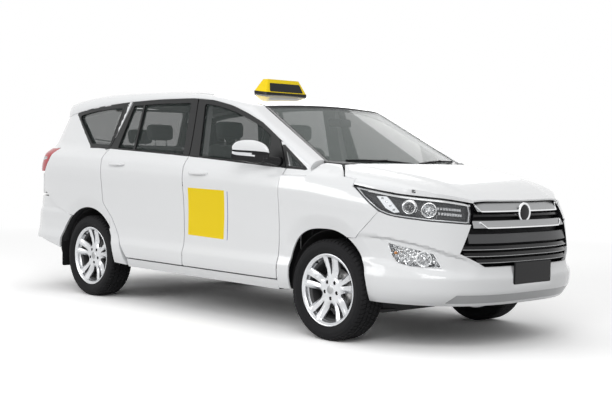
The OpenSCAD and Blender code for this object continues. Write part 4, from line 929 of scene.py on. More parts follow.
def build_rails():
    """Side of the roof from the windows' rail up to the roof's edge, and the A pillar."""
    for name, s in SIDES:
        n, m = 150, 14
        V, F = [], []
        for i in range(n):
            x0 = mix(-2040, 1187, i / (n - 1))
            for j in range(m):
                a = math.radians(90 * j / (m - 1))
                x = x0
                if x0 < -1942:
                    x = max(x0, -0.953 * float(tail_reach(mix(1480, 1590, j / (m - 1)))))
                z0 = float(rail_z(x)) + 3
                y0 = float(body_y(x, z0))
                ty, tz = (float(q) for q in pillar_top(x))
                c, d = math.cos(a) ** 0.9, math.sin(a) ** 0.9
                V.append((x, (ty + (y0 - ty) * c + 0.8) * s, z0 + (tz - z0) * d + 0.6))
        for i in range(n - 1):
            for j in range(m - 1):
                a = i * m + j
                F.append((a, a + 1, a + m + 1, a + m) if s < 0 else (a, a + m, a + m + 1, a + 1))
        add("roof_side_" + name, V, F, ["paint"], "body")


def screen_grid(nu, nv, off=(0, 0, 0)):
    P = []
    for j in range(nv + 1):
        for i in range(nu + 1):
            u, v = 1 - 2 * i / nu, 1 - j / nv
            yt, yb = 592.5 * u, 702.7 * u
            y = mix(yt, yb, v)
            rx = 527 - 72 * (yt / 596) ** 2
            zt = float(roof_z(rx, yt)) - 3
            zb = 1126 + 25 * u * u
            z = mix(zt, zb, v)
            P.append((float(screen_x(y, z)) + 6 + off[0], y + off[1], z + off[2]))
    return P


def build_screen():
    nu, nv = 48, 24
    P = screen_grid(nu, nv) + screen_grid(nu, nv, (-3, 0, -5))
    n = (nu + 1) * (nv + 1)
    F, fm = [], []
    for j in range(nv):
        for i in range(nu):
            a = j * (nu + 1) + i
            q = (a, a + nu + 1, a + nu + 2, a + 1)
            rim = j < 1 or j >= nv - 1 or i < 1 or i >= nu - 1
            F += [q[::-1], tuple(k + n for k in q)]
            fm += [1 if rim else 0] * 2
    edge = [(j * (nu + 1), (j + 1) * (nu + 1)) for j in range(nv)] \
        + [((j + 1) * (nu + 1) + nu, j * (nu + 1) + nu) for j in range(nv)] \
        + [(i + 1, i) for i in range(nu)] \
        + [(nv * (nu + 1) + i, nv * (nu + 1) + i + 1) for i in range(nu)]
    for a, b in edge:
        F.append((b, a, a + n, b + n))
        fm.append(1)
    ob = add("windscreen_pane", P, F, ["screen", "black_gloss"], "body", fm)
    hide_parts("windscreen")


# Parts turned about an axis, swept strips and rounded boxes
def lathe(name, profile, place, mats, body, n=48, face_mats=None, soft=0, mirror=1):
    """Turns a profile of (radius, height) about +Z of the matrix place, in mm."""
    V, F, fm = [], [], []
    m = len(profile)
    for i in range(n):
        a = 2 * math.pi * i / n
        for r, h in profile:
            V.append(place @ Vector((r * math.cos(a), r * math.sin(a), h)))
    for i in range(n):
        k = (i + 1) % n
        for j in range(m - 1):
            F.append((i * m + j, k * m + j, k * m + j + 1, i * m + j + 1))
            fm.append(face_mats[j] if face_mats else 0)
    if mirror < 0:
        V = [Vector((v.x, -v.y, v.z)) for v in V]
        F = [f[::-1] for f in F]
    ob = add(name, V, F, mats, body, fm)
    if soft:
        soften(ob, soft)
    return ob


def turned(origin, axis, up=(0, 0, 1)):
    """Matrix in mm whose +Z is the axis."""
    z = Vector(axis).normalized()
    x = Vector(up).cross(z)
    if x.length < 1e-4:
        x = Vector((1, 0, 0))
    x.normalize()
    m = Matrix((x, z.cross(x), z)).transposed().to_4x4()
    m.translation = Vector(origin)
    return m


def nose_place(a, z, sink=0.0):
    x, y = (float(q) for q in nose_at(nose_s(a), z))
    nx, ny = (float(q) for q in nose_normal(x, y, z))
    return turned((x - nx * sink, y - ny * sink, z), (nx, ny, 0))


def sweep(name, stations, mats, body, face_mats=None, mirror=1, soft=0):
    """Closed loft through rings of points with the same count."""
    m = len(stations[0])
    V = [p for st in stations for p in st]
    F, fm = [], []
    for i in range(len(stations) - 1):
        for j in range(m):
            k = (j + 1) % m
            F.append((i * m + j, i * m + k, (i + 1) * m + k, (i + 1) * m + j))
            fm.append(face_mats[j] if face_mats else 0)
    F.append(tuple(range(m - 1, -1, -1)))
    F.append(tuple(range((len(stations) - 1) * m, len(stations) * m)))
    fm += [face_mats[0] if face_mats else 0] * 2
    if mirror < 0:
        V = [(p[0], -p[1], p[2]) for p in V]
        F = [f[::-1] for f in F]
    ob = add(name, V, F, mats, body, fm)
    if soft:
        soften(ob, soft)
    return ob


def tube(name, path, r, mats, body, n=10, mirror=1):
    """Round bar through points in mm."""
    P = [Vector(p) for p in path]
    st = []
    for i, p in enumerate(P):
        d = (P[min(i + 1, len(P) - 1)] - P[max(i - 1, 0)]).normalized()
        m = turned(p, d, (0.13, 0.31, 0.94))
        st.append([m @ Vector((r * math.cos(2 * math.pi * k / n), r * math.sin(2 * math.pi * k / n),
                               0)) for k in range(n)])
    return sweep(name, st, mats, body, mirror=mirror)


def block(name, place, size, r, mats, body, mirror=1, taper=1.0, n=4):
    """Box with rounded upright edges, centred on the matrix place, its top face tapered."""
    w, d, h = size
    poly = rounded([(-w / 2, -d / 2), (w / 2, -d / 2), (w / 2, d / 2), (-w / 2, d / 2)], r, n)
    rows = ((0.0, 1.0), (0.55, (1 + taper) / 2), (1.0, taper))
    st = [[place @ Vector((p[0] * k, p[1] * k, (t - 0.5) * h)) for p in poly] for t, k in rows]
    ob = sweep(name, st, mats, body, mirror=mirror)
    return soften(ob, min(r, 2.0) * 0.8, 30)


def wall(name, outline, surf_a, surf_b, mats, body, mirror=1, step=10):
    """Strip between one outline laid on two surfaces."""
    lp = np.array(dense(outline, step))
    a = np.stack(np.broadcast_arrays(*surf_a(lp[:, 0], lp[:, 1])), 1)
    b = np.stack(np.broadcast_arrays(*surf_b(lp[:, 0], lp[:, 1])), 1)
    n = len(lp)
    V = np.vstack([a, b])
    F = [(i, (i + 1) % n, n + (i + 1) % n, n + i) for i in range(n)]
    if mirror < 0:
        V = V * np.array([1, -1, 1])
    return add(name, V, F, mats, body)


# Nose
FOG = [(662, 527), (775, 527), (805, 545), (814, 590), (822, 671), (760, 640), (690, 613)]
FOG_R = [10, 24, 20, 40, 5, 40, 12]
LAMP_TOP = table([[0.512, 916], [0.68, 941], [0.856, 964], [0.93, 992], [0.959, 1012]])
LAMP_LOW = table([[0.578, 794], [0.785, 809], [0.863, 821], [0.904, 832], [0.926, 858],
                  [0.959, 1000]], True)
STRIP = [(-640, 310), (-606, 364), (606, 364), (640, 310)]


def bumper_relief(a, z):
    """Scoop round the fog lamps with its shelf, the plate's recess and the lower grey strip."""
    y = HALF_W * np.abs(nose_s(a))
    crease = np.interp(y, [500, 560, 646, 720, 840, 905], [560, 590, 616, 648, 699, 716])
    shelf = np.interp(y, [0, 511, 722, 808, 905], [452, 462, 481, 510, 545])
    depth = 20 * smooth((y - 470) / 130) * smooth((908 - y) / 60) + 7 * smooth((600 - y) / 200)
    scoop = depth * smooth((crease - z) / 16) * smooth((z - shelf) / 34)
    plate = 13 * smooth((212 - y) / 10) * smooth((z - 412) / 10) * smooth((566 - z) / 10)
    edge = 606 + (364 - z) * 0.63
    strip = 7 * smooth((366 - z) / 5) * smooth((z - 306) / 6) * smooth((edge + 8 - y) / 10)
    roll = 10 * smooth((300 - z) / 16)
    x = nose_at(nose_s(a), z)[0]
    return np.maximum(scoop, plate) + strip + roll + front_flare(x, z)


def build_bumper():
    half = [(0.0, 292.0)]
    half += [(nose_side(x, 292), 292) for x in (2200, 2000, 1860)]
    half += [(nose_side(x, z), z) for x, z in front_arc(-6, 61, 50)]
    half += [(nose_side(1632.4, 681), 681), (nose_side(1812.4, 857), 857)]
    half += [(float(nose_a(c)), float(LAMP_LOW(c)) - 0.6) for c in np.linspace(0.925, 0.585, 22)]
    g = dense([(500, 793), (579, 616), (432, 537)], 24, False)
    half += [(nose_front(y, z), z) for y, z in g]
    half += [(nose_front(y, 537), 537) for y in (300, 150)]
    outline = half + [(-a, z) for a, z in half[::-1]]
    outline = [p for i, p in enumerate(outline) if np.hypot(p[0] - outline[i - 1][0],
                                                            p[1] - outline[i - 1][1]) > 0.5]
    fogs = [rounded([(nose_front(y, z) * m, z) for y, z in FOG], FOG_R, 5) for m in (1, -1)]
    strip = rounded([(nose_front(y, z), z) for y, z in STRIP], 6)
    crease = [(nose_front(y, z) * m, z) for m in (1, -1) for y, z in
              ((500, 560), (560, 590), (646, 616), (720, 648), (840, 699), (900, 715))]
    shelf = [(nose_front(y, z), z) for y, z in ((-900, 543), (-808, 510), (-722, 481), (-511, 462),
             (0, 452), (511, 462), (722, 481), (808, 510), (900, 543))]
    panel("front_bumper_shell", "body", outline, nose_surf(0, bumper_relief), nose_depth(18),
          ["white_plastic", "black_satin", "satin_grey"], holes=fogs,
          lines=[strip + [strip[0]], crease[:6], crease[6:], shelf], step=13, edge=10,
          pick=lambda a, z: np.where(inside(np.stack([a, z], 1), strip), 2, 0),
          replaces=["front_bumper"], soft=1.2)


def nose_path(name, pts, h, sinks, mats, body, face_mats=None, mirror=1):
    """Bar along (y, z) points of the nose, h tall; sinks are top front, low front and back."""
    st = []
    for y, z in pts:
        row = []
        for dz, d in ((h / 2, sinks[0]), (-h / 2, sinks[1]), (-h / 2, sinks[2]), (h / 2, sinks[2])):
            a = nose_front(y, z + dz)
            row.append([float(q) for q in nose_surf(d)(a, z + dz)])
        st.append(row)
    return sweep(name, st, mats, body, face_mats, mirror=mirror, soft=1.0)


def grille_y(z):
    return float(np.interp(z, [537, 616, 932], [432, 579, 434]))


def build_grille():
    g = dense([(-432, 537), (-579, 616), (-434, 932), (434, 932), (579, 616), (432, 537)], 25)
    back = [(nose_front(y, z), z) for y, z in g]
    ob = panel("grille_back", "body", back, nose_surf(62), nose_depth(3), ["black_satin"] * 2,
               step=40, edge=25, soft=0)
    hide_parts("grille")
    wall("grille_surround", back, nose_surf(2), nose_surf(62), ["black_gloss"], "body", step=20)
    bars = [(900, 58, (16, 4, 34), "satin_metal"), (846, 15, (24, 22, 40), "black_gloss"),
            (793, 44, (14, 3, 34), "satin_metal"), (706, 56, (18, 8, 36), "grille_grey")]
    for i, (z, h, sink, mat) in enumerate(bars):
        e = min(grille_y(z - h / 2), grille_y(z + h / 2)) - 3
        ys = np.linspace(e, -e, 41)
        nose_path("grille_bar_%d" % i, [(y, z) for y in ys], h, sink, [mat], "body")
    # bright lower edges of the two upper bars, which climb at their ends
    for i, (z0, z1, y1, y2) in enumerate(((872, 920, 405, 438), (772, 806, 385, 432))):
        p = [(-y2, z1), (-y1, z0)] + [(y, z0) for y in np.linspace(-y1 + 20, y1 - 20, 30)]
        p += [(y1, z0), (y2, z1)]
        nose_path("grille_edge_%d" % i, p, 8, (2, 1, 12), ["chrome"], "body")
    for i, z in enumerate((650, 610, 570)):
        e = grille_y(z - 6) - 4
        ys = np.linspace(e, -e, 41)
        nose_path("grille_slat_%d" % i, [(y, z) for y in ys], 24, (20, 9, 44), ["black_gloss"],
                  "body")
        nose_path("grille_slat_edge_%d" % i, [(y, z - 10) for y in ys], 4, (7, 7, 14),
                  ["satin_metal"], "body")
    place = nose_place(0.0, 861, 10)
    lathe("emblem_place", [(0, 6), (40, 6), (47, 5), (50, 2), (50, 0), (52, 7), (57, 9), (62, 6),
                           (63, 0), (63, -6)], place, ["black_gloss", "chrome"], "body", 72,
          [0, 0, 0, 0, 1, 1, 1, 1, 1])
    # bare plate on its holder
    p = turned((2380.0, 0, 488), (1, 0, 0))
    block("plate_holder", p, (392, 140, 8), 8, ["black_satin"], "body")
    p = turned((2384.5, 0, 488), (1, 0, 0))
    block("plate", p, (384, 130, 3), 6, ["black_gloss"], "body")


def lamp_outline(grow=0.0):
    cs = np.linspace(0.585, 0.9235, 26)
    low = [(float(nose_a(c)), float(LAMP_LOW(c)) + 1 - grow) for c in cs]
    cut = [(nose_side(*p), p[1]) for p in
           (np.array([1816.0, 860.0]) * (1 - t) + np.array([1606.0, 1006.0]) * t
            for t in np.linspace(0.03, 1, 14))]
    up = [(float(nose_a(c)), float(LAMP_TOP(c)) - 1 + grow) for c in np.linspace(0.952, 0.585, 30)]
    end = [(nose_front(y, z), z) for y, z in ((470, 912), (484, 860), (508, 797))]
    r = [0] * (len(low) + len(cut) - 1) + [6] + [0] * len(up) + [10, 0, 10]
    return rounded(low + cut + up + end, r)


def headlamp(name, s):
    """Dark bowl with a projector, a reflector, ribs and a light strip, behind a clear lens."""
    o = lamp_outline()
    panel("lamp_bowl_" + name, "body", o, nose_surf(38), nose_depth(4), ["lamp_dark"] * 2,
          step=22, edge=12, mirror=s, soft=0)
    wall("lamp_wall_" + name, o, nose_surf(2), nose_surf(38), ["lamp_dark"], "body", s)
    top = [(float(nose_a(c)), float(LAMP_TOP(c)) - 7) for c in np.linspace(0.935, 0.535, 30)]
    low = [(a, z - 12) for a, z in top[::-1]]
    panel("lamp_brow_" + name, "body", top + low, nose_surf(5), nose_depth(8), ["chrome"] * 2,
          step=14, edge=10, mirror=s, soft=0.6, inner=0)
    panel("lamp_ring_" + name, "body", shrink(o, 6.5), nose_surf(6), nose_depth(9),
          ["alloy"] * 2, holes=[shrink(o, 13.5)], step=14, edge=7, mirror=s, soft=0.6, inner=0)
    led = [(float(nose_a(c)), z) for c, z in ((0.9225, 951), (0.9000, 951), (0.878, 858),
                                              (0.893, 853), (0.911, 880))]
    panel("lamp_led_" + name, "body", rounded(led, 4), nose_surf(14), nose_depth(10),
          ["led", "satin_metal"], step=12, edge=8, mirror=s, soft=1.0)
    for k in range(4):
        z = 940 - 22 * k
        c = 0.911 - 0.0065 * k
        block("lamp_led_%s_%d" % (name, k), nose_place(float(nose_a(c)), z, 12), (14, 12, 5), 2,
              ["reflector"], "body", s)
    P = nose_place(float(nose_a(0.8446)), 889, 30)
    lathe("lamp_projector_" + name, [(0, 26), (12, 25), (22, 20), (29, 10), (31, 4), (33, 4),
                                     (34, 17), (38, 21), (42, 18), (44, 2), (48, 0)], P,
          ["dark_lens", "chrome"], "body", 48, [0, 0, 0, 0, 1, 1, 1, 1, 1, 1], 0, s)
    P = nose_place(float(nose_a(0.7698)), 876, 30)
    lathe("lamp_reflector_" + name, [(0, 14), (7, 13), (8, 6), (9, -4), (20, -2), (31, 5),
                                     (38, 13), (42, 19), (46, 20), (47, 8)], P,
          ["led", "reflector", "chrome"], "body", 48, [0, 0, 0, 1, 1, 1, 1, 2, 2], 0, s)
    for k in range(9):
        c = mix(0.725, 0.60, k / 8)
        for j in (0, 1):
            block("lamp_rib_%s_%d_%d" % (name, k, j),
                  nose_place(float(nose_a(c)), 886 - 31 * j - k * 1.2, 24), (17, 21, 9), 3,
                  ["alloy"], "body", s, 0.6)
    ob = panel("lamp_lens_" + name, "body", o, nose_surf(0.5), nose_depth(3), ["lens", "lens"],
               step=24, edge=11, mirror=s, soft=0)
    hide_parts("headlamp_" + name)


def fog_cluster(name, s):
    """Fog lamp with its indicator bulb behind one lens."""
    f = rounded([(nose_front(y, z), z) for y, z in FOG], FOG_R, 5)
    panel("fog_bowl_" + name, "body", f, nose_surf(44), nose_depth(4), ["reflector"] * 2,
          step=18, edge=12, mirror=s, soft=0)
    wall("fog_wall_" + name, f, nose_surf(17), nose_surf(44), ["chrome"], "body", s)
    c = np.mean(np.array(f), 0)
    inner = [tuple(c + (np.array(p) - c) * 0.93) for p in f]
    panel("fog_rim_" + name, "body", f, nose_surf(16), nose_depth(5), ["chrome"] * 2,
          holes=[inner], step=14, edge=8, mirror=s, soft=0.8, inner=0)
    P = nose_place(nose_front(732, 577), 577, 36)
    lathe("fog_lamp_" + name, [(0, 12), (20, 10), (34, 4), (40, -2), (41, 12), (45, 16),
                               (50, 14), (51, 0)], P, ["reflector", "chrome"], "body", 48,
          [0, 0, 0, 1, 1, 1, 1], 0, s)
    P = nose_place(nose_front(806, 606), 606, 30)
    lathe("fog_bulb_" + name, [(0, 12), (5, 11), (9, 6), (10, -6)], P, ["amber"], "body", 20,
          None, 0, s)
    ob = panel("fog_lens_" + name, "body", f, nose_surf(15), nose_depth(3), ["lens", "lens"],
               step=20, edge=10, mirror=s, soft=0)
    if s > 0:
        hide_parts("fog_lamps")


def build_lamps():
    for name, s in SIDES:
        headlamp(name, s)
        fog_cluster(name, s)


# Tail
def build_rear_bumper():
    half = [(0.0, 431.0)]
    half += [(tail_side(x, 431), 431) for x in (-2300, -2200, -2081)]
    half += [(tail_side(-1745, 367), 367)]
    half += [(tail_side(x, z), z) for x, z in arc(REAR_MID, AXLE_Z, REAR_ARCH, 173.5, 127.8, 28)]
    half += [(tail_side(-1650, 653), 653), (tail_side(-1850.4, 720), 720),
             (tail_side(-1962, 790), 790), (tail_side(-2150, 790), 790)]
    outline = half + [(-a, z) for a, z in half[:0:-1]]
    cut = [(tail_rear(y, z), z) for y, z in ((-640, 431), (-600, 478), (600, 478), (640, 431))]

    def relief(a, z):
        y = np.abs(HALF_W * tail_s(a))
        step = 10 * smooth((z - 668) / 18) * smooth((z - 600) / 10)
        low = 8 * smooth((480 - z) / 8) * smooth((640 - y) / 12)
        return 0.8 + step + low

    def surf(a, z):
        x, y = tail_at(tail_s(a), z)
        nx, ny = tail_normal(x, y, z)
        d = relief(a, z)
        return x - nx * d, y - ny * d, z

    panel("rear_bumper_shell", "body", outline, surf, tail_depth(18),
          ["white_plastic", "black_satin", "black_satin"], lines=[cut], step=15, edge=12,
          pick=lambda a, z: np.where(inside(np.stack([a, z], 1), cut), 2, 0),
          replaces=["rear_bumper"], flip=True, soft=1.5)
    for name, s in SIDES:
        refl = rounded([(tail_rear(y, z), z) for y, z in ((560, 560), (730, 565), (726, 590),
                                                          (560, 585))], 6)
        panel("rear_reflector_" + name, "body", refl, tail_surf(0.6), tail_depth(6),
              ["red_lens"] * 2, step=14, edge=10, mirror=s, flip=True, soft=1.0, inner=0)


def build_tailgate():
    w, n = float(tail_a(0.86)), float(tail_a(0.7998))
    half = [(w, 801), (w, 979), (n, 987), (n, 1212), (w, 1220), (w, 1400), (w, 1579)]
    outline = rounded([(-w, 801), (w, 801)] + half[1:] + [(-a, z) for a, z in half[:0:-1]],
                      [24, 24, 10, 6, 6, 10, 0, 14, 14, 0, 10, 6, 6, 10], 5)
    win = rounded([(tail_rear(y, z), z) for y, z in ((640, 1245), (590, 1560), (-590, 1560),
                                                     (-640, 1245))], [40, 30, 30, 40], 7)
    band = rounded([(tail_rear(y, z), z) for y, z in ((690, 1226), (634, 1576), (-634, 1576),
                                                      (-690, 1226))], [40, 30, 30, 40], 7)
    plate = [(tail_rear(y, z), z) for y, z in ((-300, 868), (-270, 1010), (270, 1010), (300, 868))]

    def gate_relief(a, z):
        y = np.abs(HALF_W * tail_s(a))
        recess = 22 * smooth((292 - y) / 14) * smooth((z - 866) / 12) * smooth((1010 - z) / 12)
        return recess + 5 * smooth((z - 1040) / 30) * smooth((1180 - z) / 60) * smooth((700 - y) / 60)

    def gate(a, z):
        x, y = tail_at(tail_s(a), z)
        return x + gate_relief(a, z), y, z

    panel("tailgate_shell", "tailgate", outline, gate,
          lambda a, z: (48 - gate_relief(a, z) * 0.5, 0 * a, 0 * a),
          ["paint", "trim", "black_gloss"], holes=[win],
          lines=[plate + [plate[0]], band + [band[0]]], step=17, edge=12,
          pick=lambda a, z: np.where(inside(np.stack([a, z], 1), band), 2, 0),
          replaces=["tailgate"], flip=True, soft=2.0)
    panel("tailgate_pane", "tailgate", win, lambda a, z: (tail_at(tail_s(a), z)[0] + 8,
                                                          tail_at(tail_s(a), z)[1], z),
          lambda a, z: (5 + 0 * a, 0 * a, 0 * a), ["glass", "glass"], step=40, edge=16,
          replaces=["tailgate_glass"], flip=True, soft=0)


def build_gate_fittings():
    """Bare plate, handle, spoiler lip, stop lamp and wiper of the tailgate."""
    x = float(tail_at(0.0, 938.0)[0])
    p = turned((x + 17, 0, 938), (-1, 0, 0))
    block("rear_plate", p, (440, 118, 4), 8, ["blank_plate"], "tailgate")
    p = turned((x + 16, 0, 1003), (-1, 0, 0))
    block("rear_handle", p, (520, 26, 22), 8, ["chrome"], "tailgate")
    st = []
    for y in np.linspace(-600, 600, 41):
        x = float(tail_at(y / float(half_at(-2000.0, 1570.0)), 1570.0)[0])
        st.append([(x - 2, y, 1560), (x - 34 * (1 - (y / 640) ** 6), y, 1574), (x - 2, y, 1582),
                   (x + 30, y, 1580)])
    sweep("spoiler_lip", st, ["paint"], "tailgate", soft=1.5)
    x = float(tail_at(0.0, 1548.0)[0])
    block("stop_lamp", turned((x - 1, 0, 1552), (-1, 0, 0)), (220, 14, 8), 4, ["red_lens"],
          "tailgate")
    pivot = (float(tail_at(0.0, 1262.0)[0]) - 6, 0, 1262)
    lathe("rear_wiper_pivot", [(0, 14), (14, 12), (18, 4), (18, -8)],
          turned(pivot, (-1, 0, 0.2)), ["black_satin"], "tailgate", 24)
    route = [(-340 * t, 1266 + 34 * t) for t in np.linspace(0, 1, 8)]
    arm = [(float(tail_at(y / 760, z)[0]) - 12 + 2 * (i % 2), y, z)
           for i, (y, z) in enumerate(route)]
    tube("rear_wiper_arm", arm, 4, ["black_satin"], "tailgate")


def build_tail_lamps():
    for name, s in SIDES:
        a0 = float(tail_a(0.8165))
        o = [(a0, 1003), (tail_side(-2150, 1003), 1003), (tail_side(-2036, 1003), 1003),
             (tail_side(-1893.6, 1202), 1202), (tail_side(-2080, 1202), 1202), (a0, 1202)]
        o = rounded(o, [10, 0, 12, 14, 0, 10], 5)
        band = rounded([(a0 + 22, 1098), (tail_side(-2090, 1098), 1098), (tail_side(-2010, 1108),
                       1108), (tail_side(-2006, 1128), 1128), (a0 + 22, 1132)], 6)
        ob = panel("tail_lamp_" + name, "body", o, tail_surf(0), tail_depth(40),
                   ["red_lens", "lamp_dark", "reflector"], lines=[band + [band[0]]], step=14,
                   edge=9, mirror=s, flip=True, soft=2.0,
                   pick=lambda a, z: np.where(inside(np.stack([a, z], 1), band), 2, 0))
        if s > 0:
            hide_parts("tail_lamps")


def build_cowl():
    rows = []
    ys = np.linspace(-700, 700, 57)
    hx = np.array([p[0] for p in HOOD[:5]])
    hy = np.array([p[1] for p in HOOD[:5]])
    for y in ys:
        u = y / 702.7
        zb = 1126 + 25 * u * u
        xb = float(screen_x(y, zb)) + 9
        xh = float(np.interp(abs(y), hy[:4], hx[:4])) - 3
        zh = float(hood_z(xh, min(abs(y), 690))) - 16
        row = []
        for t in np.linspace(0, 1, 7):
            row.append((mix(xb, xh, t), y, mix(zb - 2, zh, t) - 8 * math.sin(math.pi * t)))
        row += [(xh, y, zh - 22), (xb, y, zb - 30)]
        rows.append(row)
    sweep("cowl_cover", rows, ["black_satin"], "body", soft=0)
    for s, y0, y1 in ((1, 60, 600), (-1, -560, -20)):
        base = []
        for t in np.linspace(0, 1, 24):
            y = mix(y0, y1, t)
            v = 0.045 + 0.03 * math.sin(math.pi * t)
            yt, yb = 592.5 * (y / 702.7), y
            zt = float(roof_z(527 - 72 * (yt / 596) ** 2, yt)) - 3
            zb = 1126 + 25 * (y / 702.7) ** 2
            z = mix(zb, zt, v)
            base.append((float(screen_x(mix(yb, yt, v), z)) + 14, mix(yb, yt, v), z + 7))
        st = []
        for x, y, z in base:
            st.append([(x - 4, y, z + 4), (x + 7, y, z - 1), (x + 2, y, z - 10), (x - 6, y, z - 6)])
        sweep("wiper_blade_%d" % (s > 0), st, ["black_satin"], "body", soft=0.8)
        pv = (float(screen_x(y0, 1126.0)) + 40, y0 + 20, 1131)
        lathe("wiper_pivot_%d" % (s > 0), [(0, 16), (11, 14), (15, 4), (15, -12)],
              turned(pv, (0.6, 0, 1)), ["black_satin"], "body", 24)
        mid = base[14]
        tube("wiper_arm_%d" % (s > 0), [pv, (mix(pv[0], mid[0], 0.5) + 4, mix(pv[1], mid[1], 0.5),
                                             mix(pv[2], mid[2], 0.5) + 14),
                                        (mid[0], mid[1], mid[2] + 5)], 4.5, ["black_satin"], "body")


MIRROR_T = [0, 0.07, 0.18, 0.35, 0.53, 0.72, 0.87, 0.96, 1.0]
MIRROR = [table(list(zip(MIRROR_T, row))) for row in (
    [0.60, 0.82, 0.96, 1.0, 1.0, 0.95, 0.78, 0.50, 0.22],
    [1238, 1266, 1281, 1288, 1287, 1281, 1268, 1250, 1234],
    [1198, 1202, 1208, 1212, 1215, 1217, 1218.5, 1220, 1220.5],
    [1160, 1136, 1129, 1134, 1142, 1147, 1151, 1158, 1170])]


def mirror_ring(t, m):
    """Section of the mirror's housing: flat behind, full in front, seam at the cap's edge."""
    wide, top, cap, low = (float(f(t)) for f in MIRROR)
    front = mix(np.array([920.0, 908]), np.array([668.0, 1056]), t)
    back = mix(np.array([744.0, 926]), np.array([650.0, 1060]), t)
    mid = mix(back, front, 0.3)
    row = []
    for k in range(m):
        c, w = math.cos(2 * math.pi * k / m), math.sin(2 * math.pi * k / m)
        p = mid + ((front - mid) * c if c > 0 else (back - mid) * abs(c) ** 0.4) * wide
        z = cap + ((top - cap) * w ** 0.85 if w > 0 else -(cap - low) * abs(w) ** 0.85)
        row.append((p[0], p[1], z))
    return row


def build_mirrors():
    for name, s in SIDES:
        body = "door_front_" + name
        m, ts = 40, np.linspace(0, 1, 25)
        st = [mirror_ring(t, m) for t in ts]
        V = [p for r in st for p in r]
        F, fm = [], []
        for i in range(len(st) - 1):
            for j in range(m):
                k = (j + 1) % m
                F.append((i * m + j, i * m + k, (i + 1) * m + k, (i + 1) * m + j))
                lit = 37 <= j <= 38 and ts[i] > (0.5 if j == 38 else 0.42)
                fm.append(2 if lit else (1 if j >= 20 else 0))
        F.append(tuple(range(m - 1, -1, -1)))
        F.append(tuple(range((len(st) - 1) * m, len(st) * m)))
        fm += [1, 1]
        if s < 0:
            V = [(p[0], -p[1], p[2]) for p in V]
        else:
            F = [f[::-1] for f in F]
        ob = add("mirror_shell_" + name, V, F, ["paint", "black_gloss", "alloy"], body, fm)
        soften(ob, 1.2, 50)
        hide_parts("mirror_" + name)
        g = turned((691, 992, 1207), (-0.832, -0.555, 0.0), (0, 0, 1))
        poly = rounded([(-58, -44), (54, -50), (58, 50), (-60, 52)], [26, 22, 20, 26], 6)
        st = [[g @ Vector((p[0] * k, p[1] * k, h)) for p in poly]
              for k, h in ((1.0, -12), (1.0, 3), (0.96, 5), (0.955, 2), (0.5, 2), (0.01, 2))]
        sweep("mirror_glass_" + name, st, ["black_satin", "chrome"], body,
              [1] * len(st[0]), mirror=s)
        foot = []
        for t in np.linspace(0, 1, 7):
            c = Vector((mix(838, 896, t), mix(940, float(body_y(896.0, 1145.0)) + 1, t),
                        mix(1162, 1146, t)))
            rx, rz = mix(24, 30, t), mix(24, 33, t)
            foot.append([(c.x + rx * math.cos(a), c.y, c.z + rz * math.sin(a))
                         for a in np.linspace(0, 2 * math.pi, 25)[:-1]])
        sweep("mirror_foot_" + name, foot, ["black_gloss"], body, mirror=s)


# Wheels: built along +Z with the outer face up
WHEELS = [("front_left", FRONT_X, 1), ("front_right", FRONT_X, -1), ("rear_left", REAR_X, 1),
          ("rear_right", REAR_X, -1)]
RIM_R, BEAD_R, HALF_RIM, TYRE_R, TYRE_H = 235.0, 216.0, 92.0, 328.0, 107.5


def wheel_place(x):
    return Matrix.Translation((x, HALF_TRACK, AXLE_Z)) @ Matrix.Rotation(math.radians(-90), 4, "X")


def polar(r, a):
    """Point at radius r and angle a in degrees."""
    return (r * math.cos(math.radians(a)), r * math.sin(math.radians(a)))


def ring(name, prof, place, mats, body, n, mirror, face_mats=None, soft=0):
    """A turned piece of a wheel, on either side."""
    return lathe(name, prof, place, mats, body, n, face_mats, soft, mirror)


BARREL = [(RIM_R, HALF_RIM - 1), (RIM_R, HALF_RIM - 6), (RIM_R - 13, HALF_RIM - 8),
          (BEAD_R, HALF_RIM - 12), (BEAD_R, 50), (BEAD_R - 16, 35), (BEAD_R - 16, -20),
          (BEAD_R, -35), (BEAD_R, 12 - HALF_RIM), (RIM_R - 13, 8 - HALF_RIM),
          (RIM_R, 6 - HALF_RIM), (RIM_R, 1 - HALF_RIM), (RIM_R - 13, -HALF_RIM),
          (BEAD_R - 8, 8 - HALF_RIM), (BEAD_R - 8, -40), (BEAD_R - 24, -22),
          (BEAD_R - 24, 38), (BEAD_R - 10, 52), (BEAD_R - 5, 66), (BEAD_R - 3, 79),
          (RIM_R - 13, 86.5), (RIM_R - 7, 91), (RIM_R - 3.5, HALF_RIM), (RIM_R - 2, HALF_RIM)]
SPOKES, FIRST_SPOKE, STEP = 5, 270, 72
OPEN_R, FACE_R = BEAD_R + 2.0, BEAD_R + 8.0  # reach of the windows and of the whole face
NUT_R = 57


def face_z(r):
    """Height of the rim's outer face over the wheel's middle plane."""
    return np.interp(r, [0, 30, 70, 110, 160, 202, 217, 224], [58, 60, 56, 60, 68, 79, 84, 88.5])


def rim_openings():
    """A window between each two pairs of spokes, a slot in each pair, and the nuts' wells."""
    holes = []
    for k in range(SPOKES):
        c = FIRST_SPOKE + STEP * k
        hole = [polar(OPEN_R, c + a) for a in (18.5, 24, 30, 36, 42, 48, 53.5)]
        hole += [polar(104, c + 46), polar(84, c + 36), polar(104, c + 26)]
        holes.append(rounded(hole, [6] + [0] * 5 + [6, 8, 12, 8], 5))
        slot = [polar(OPEN_R, c - 5), polar(OPEN_R, c), polar(OPEN_R, c + 5), polar(100, c + 1.6),
                polar(100, c - 1.6)]
        holes.append(rounded(slot, [4, 0, 4, 2, 2], 4))
        nut = polar(NUT_R, c + STEP / 2)
        holes.append([tuple(np.array(nut) + np.array(polar(12.5, a)))
                      for a in np.linspace(0, 360, 19)[:-1]])
    return holes


